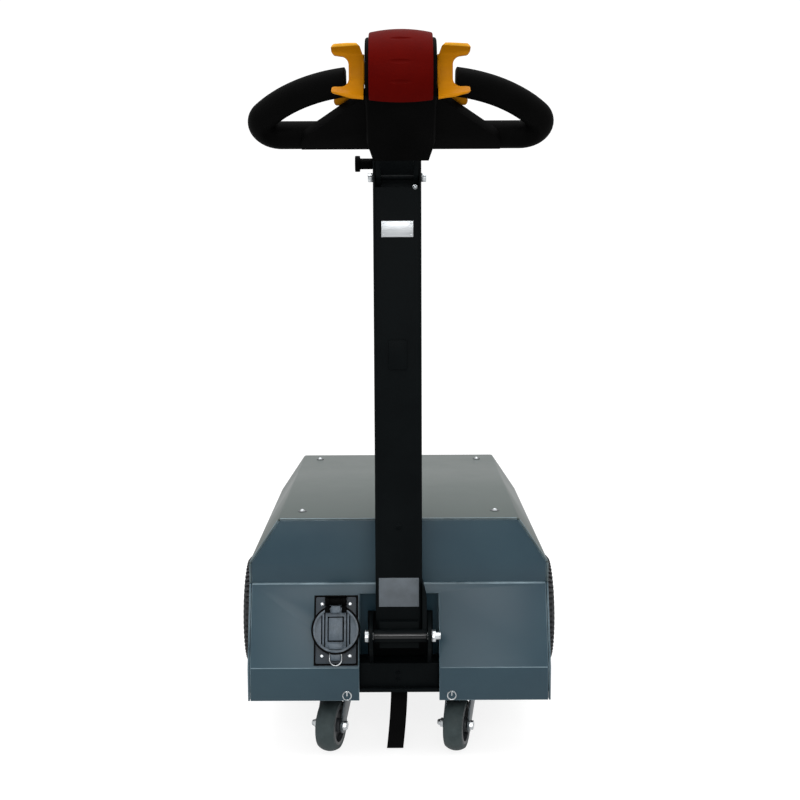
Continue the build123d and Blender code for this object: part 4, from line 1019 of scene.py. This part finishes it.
class TUG_OT_charging_socket(bpy.types.Operator):
    """Charging socket: cover plate and screws, hinge, ribbed lid and wire bail."""

    bl_idname = "tug.charging_socket"
    bl_label = "Charging socket"

    def execute(self, context):
        broken_edges("socket_plate", 0.7 * MM, cast_cover(), degrees=40)
        broken_edges("lid_hinge", 0.7 * MM, moulded_black(), degrees=40)
        lid = broken_edges("socket_lid", 0.8 * MM, moulded_lid(), degrees=40)
        lid.data.materials.append(moulded_black())
        for face in lid.data.polygons:
            face.material_index = int((face.center - SOCKET_MIDDLE).dot(SLOPE_UP) > KNUCKLE_UP)
        edit = bmesh.new()
        for x in (-23 * MM, 23 * MM):
            for y in (-42 * MM, 43 * MM):
                place = place_on(on_slope(x, y, 0), SLOPE_OUT)
                add_socket_screw(edit, place, 2.4 * MM, 1.8 * MM, 2.8 * MM)
        finish_piece("socket_screws", edit, "chassis", zinc_plate())

        # Columns: across, up, foot above the dish, width, height, depth, edge; all in mm
        ribs = (
            (0, 0, 0.0, 34, 58, 1.6, 0.6),
            (0, 1, 2.0, 23, 37, 2.6, 0.9),
            (-20.5, 0, 0.0, 3.0, 52, 2.6, 0.8),
            (20.5, 0, 0.0, 3.0, 52, 2.6, 0.8),
            (0, 33, 1.0, 15, 12, 4.6, 1.0),
            (0, -27, 1.0, 22, 9, 2.4, 0.8),
            (0, -42, -3.0, 17, 16, 5.0, 1.0),
        )
        # Black blocks on the lid: a dark frame round the raised panel and thin strips beside the side ribs,
        # which are painted shade, and the hinge's two black legs.
        shade_and_leg_rows = (
            (0, 1, 1.2, 27, 41, 1.4, 0.3),
            (-23.2, 0, -0.6, 1.6, 46, 1.6, 0.2),
            (-18.2, 0, 0.4, 1.4, 56, 1.6, 0.2),
            (18.2, 0, 0.4, 1.4, 56, 1.6, 0.2),
            (23.2, 0, -0.6, 1.6, 46, 1.6, 0.2),
            (-14, 33, 0.0, 8, 10, 6.5, 0.8),
            (14, 33, 0.0, 8, 10, 6.5, 0.8),
        )
        # Columns: name, its blocks, finish, slot
        groups = (
            ("lid_ribs", ribs, moulded_lid(), "lid_plastic"),
            ("lid_shade_and_legs", shade_and_leg_rows, moulded_black(), "black_plastic"),
        )
        for name, rows, finish, slot in groups:
            edit = bmesh.new()
            for across, up, foot, width, height, depth, edge in rows:
                out = LID_DISH + (foot + depth / 2) * MM
                place = place_on(on_slope(across * MM, up * MM, out), SLOPE_OUT, SLOPE_UP)
                add_block(edit, place, (width * MM, height * MM, depth * MM), edge * MM)
            finish_piece(name, edit, "charge_lid", finish)

        edit = bmesh.new()
        ring = place_on(on_slope(0, 0, LID_FACE - 1.2 * MM), SLOPE_OUT, SLOPE_UP)
        add_ring(edit, ring, 38.7 * MM, 1.9 * MM)
        finish_piece("lid_seal", edit, "charge_lid", pressed_rubber())

        edit = bmesh.new()
        cover = place_on(on_slope(0, 54.6 * MM, 6.5 * MM), SLOPE_OUT, SLOPE_UP)
        add_block(edit, cover, (37 * MM, 3 * MM, 13 * MM), 0.8 * MM)
        finish_piece("hinge_cover", edit, "chassis", moulded_black())

        # Columns: across, up; the bail hangs from both sides of the lid's finger tab
        bail = [(-9, -38), (-10, -45), (-8.5, -53), (0, -58), (8.5, -53), (10, -45), (9, -38)]
        points = [on_slope(x * MM, y * MM, LID_FACE - 2.5 * MM) for x, y in bail]
        add_wire("lid_bail", points, 0.9 * MM, "charge_lid", zinc_plate())
        return {"FINISHED"}


class TUG_OT_head(bpy.types.Operator):
    """Moulded tiller head with its red switch and yellow paddles."""

    bl_idname = "tug.head"
    bl_label = "Tiller head"

    def execute(self, context):
        broken_edges("head_housing", 3.0 * MM, moulded_black(), 3, 30)
        broken_edges("belly_switch", 2.2 * MM, red_abs(), 3, 30)
        for name, side in SIDES:
            low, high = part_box(f"paddle_{name}")
            middle = (low + high) / 2
            inner = low.x if side > 0 else high.x
            outer = high.x if side > 0 else low.x
            edit = solid_copy(f"paddle_{name}")
            start = Vector((inner + side * (CORNER_CUT + CORNER_BACK), middle.y, high.z))
            fall = Vector((-side * CORNER_CUT, 0, -CORNER_DROP))
            out = Vector((-side * CORNER_DROP, 0, CORNER_CUT))
            trim(edit, start + fall / 2, out)
            trim(edit, start + Vector((side * PEAK_CUT, 0, 0)), (-side, 0, 1))
            trim(edit, (0, low.y + TIP_TRIM, 0), (0, -1, 0))
            trim(edit, (0, high.y - TIP_TRIM, 0), (0, 1, 0))
            leaf = middle.z + (LEAF_FOOT + high.z - middle.z) / 2
            for vert in edit.verts:
                if vert.co.y > middle.y:
                    continue
                reach = abs(outer - vert.co.x)
                below = middle.z - TONGUE_TOP - vert.co.z
                if below > 0:
                    near_tip = max(0.0, 1 - reach / TONGUE_TAPER)
                    vert.co.z += TONGUE_LIFT * near_tip * below / (middle.z - TONGUE_TOP - low.z)
                above = vert.co.z - middle.z - LEAF_FOOT
                if above > -1 * MM:
                    near_tip = max(0.0, 1 - reach / LEAF_TIP)
                    vert.co.z = leaf + (vert.co.z - leaf) * (1 - LEAF_SHARE * near_tip ** 2) ** 0.5
                    vert.co.z -= LEAF_DROP * max(0.0, above) / (high.z - middle.z - LEAF_FOOT)
            merge_flats(edit)
            bevel(edit, sharp_edges(edit, 30), 1.2 * MM, 3)
            # The cut ends of the upper leaves take the paler yellow, a painted highlight.
            for face in edit.faces:
                centre = face.calc_center_median()
                face.material_index = int(centre.z > middle.z and centre.y < low.y + TIP_TRIM + 1 * MM)
            foot = (inner + side * RIB_IN, middle.y - WEB_FACE, middle.z + RIB_UP)
            add_block(edit, place_on(foot, (0, -1, 0), (0, 0, 1)), RIB_SIZE, 1 * MM)
            paddle = finish_piece(
                f"paddle_{name}_skin", edit, "head", yellow_abs(), [f"paddle_{name}"]
            )
            paddle.data.materials.append(tip_highlight_yellow())
        broken_edges("head_neck", 0.8 * MM, black_powder_coat(), degrees=40)
        return {"FINISHED"}


class TUG_OT_running_gear(bpy.types.Operator):
    """Axle, motor, batteries and tow jaw, which show from below and from the front."""

    bl_idname = "tug.running_gear"
    bl_label = "Running gear"

    def execute(self, context):
        broken_edges("transaxle", 1.2 * MM, cast_iron(), degrees=40)
        broken_edges("drive_motor", 2.0 * MM, black_powder_coat(), degrees=40)
        broken_edges("batteries", 2.5 * MM, battery_case(), 3, 40)
        broken_edges("tow_jaw", 1.4 * MM, black_powder_coat(), degrees=40)
        edit = bmesh.new()
        for side in (-1, 1):
            for x in (side * 72 * MM - 40 * MM, side * 72 * MM + 40 * MM):
                place = Matrix.Translation((x, BATTERY_LOW.y + 25 * MM, BATTERY_HIGH.z))
                add_disc(edit, place, 8 * MM, -1 * MM, 7 * MM, 24, 1 * MM)
        finish_piece("battery_posts", edit, "chassis", terminal_lead())
        edit = bmesh.new()
        for x in (-46 * MM, 46 * MM):
            for z in (JAW_LOW.z + 14 * MM, JAW_HIGH.z - 14 * MM):
                place = place_on((x, FRONT_HIGH.y + 8 * MM, z), (0, 1, 0))
                add_hex_bolt(edit, place, 8 * MM, 6 * MM, 11 * MM)
        finish_piece("jaw_bolts", edit, "chassis", zinc_plate())
        return {"FINISHED"}


class TUG_OT_strap(bpy.types.Operator):
    """Rubber earthing strap that hangs with a slight curve to one side."""

    bl_idname = "tug.strap"
    bl_label = "Earthing strap"

    def execute(self, context):
        edit = solid_copy("earth_strap")
        merge_flats(edit)
        drop = STRAP_HIGH.z - STRAP_LOW.z
        for number in range(1, STRAP_CUTS):
            cut = (0, 0, STRAP_LOW.z + drop * STRAP_FREE * number / STRAP_CUTS)
            whole = edit.verts[:] + edit.edges[:] + edit.faces[:]
            bmesh.ops.bisect_plane(edit, geom=whole, plane_co=cut, plane_no=(0, 0, 1))
        for vert in edit.verts:
            share = max(0.0, (STRAP_HIGH.z - STRAP_TAB - vert.co.z) / drop)
            vert.co.x -= STRAP_SWAY * share ** 1.5
            vert.co.y -= STRAP_BOW * sin(pi * min(1.0, share))
        bevel(edit, sharp_edges(edit, 50), 0.4 * MM, 2)
        finish_piece(
            "earth_strap_hung", edit, "chassis", pressed_rubber(), ["earth_strap"]
        )
        return {"FINISHED"}


class TUG_OT_plain_nodes(bpy.types.Operator):
    """Finishes for the solids that show as they are."""

    bl_idname = "tug.plain_nodes"
    bl_label = "Plain solids"

    def execute(self, context):
        # Columns: node, finish
        plain = (
            ("tiller_stop", pressed_rubber),
            ("socket_gasket", pressed_rubber),
            ("socket_insert", moulded_black),
        )
        for node, finish in plain:
            paint_node(node, finish())
        return {"FINISHED"}


class TUG_PT_panel(bpy.types.Panel):
    """The dressing's settings and steps."""

    bl_idname = "TUG_PT_panel"
    bl_label = "Tow tractor"
    bl_space_type = "VIEW_3D"
    bl_region_type = "UI"
    bl_category = "Tug"

    def draw(self, context):
        for group in (context.scene.tug_sizes, context.scene.tug_colours):
            for name in group.__annotations__:
                self.layout.prop(group, name)
        for step in STEPS:
            self.layout.operator(step.bl_idname)


STEPS = (
    TUG_OT_stage,
    TUG_OT_sheet_body,
    TUG_OT_body_screws,
    TUG_OT_drive_tyres,
    TUG_OT_drive_rims,
    TUG_OT_casters,
    TUG_OT_tiller,
    TUG_OT_tiller_bracket,
    TUG_OT_charging_socket,
    TUG_OT_head,
    TUG_OT_running_gear,
    TUG_OT_strap,
    TUG_OT_plain_nodes,
)
CLASSES = (TugSizes, TugColours, *STEPS, TUG_PT_panel)


def register():
    for item in CLASSES:
        bpy.utils.register_class(item)
    bpy.types.Scene.tug_sizes = PointerProperty(type=TugSizes)
    bpy.types.Scene.tug_colours = PointerProperty(type=TugColours)


def unregister():
    del bpy.types.Scene.tug_colours
    del bpy.types.Scene.tug_sizes
    for item in reversed(CLASSES):
        bpy.utils.unregister_class(item)


def main():
    register()
    bpy.ops.tug.stage()
    bpy.ops.tug.sheet_body()
    bpy.ops.tug.body_screws()
    bpy.ops.tug.drive_tyres()
    bpy.ops.tug.drive_rims()
    bpy.ops.tug.casters()
    bpy.ops.tug.tiller()
    bpy.ops.tug.tiller_bracket()
    bpy.ops.tug.charging_socket()
    bpy.ops.tug.head()
    bpy.ops.tug.running_gear()
    bpy.ops.tug.strap()
    bpy.ops.tug.plain_nodes()


if __name__ == "__main__":
    main()
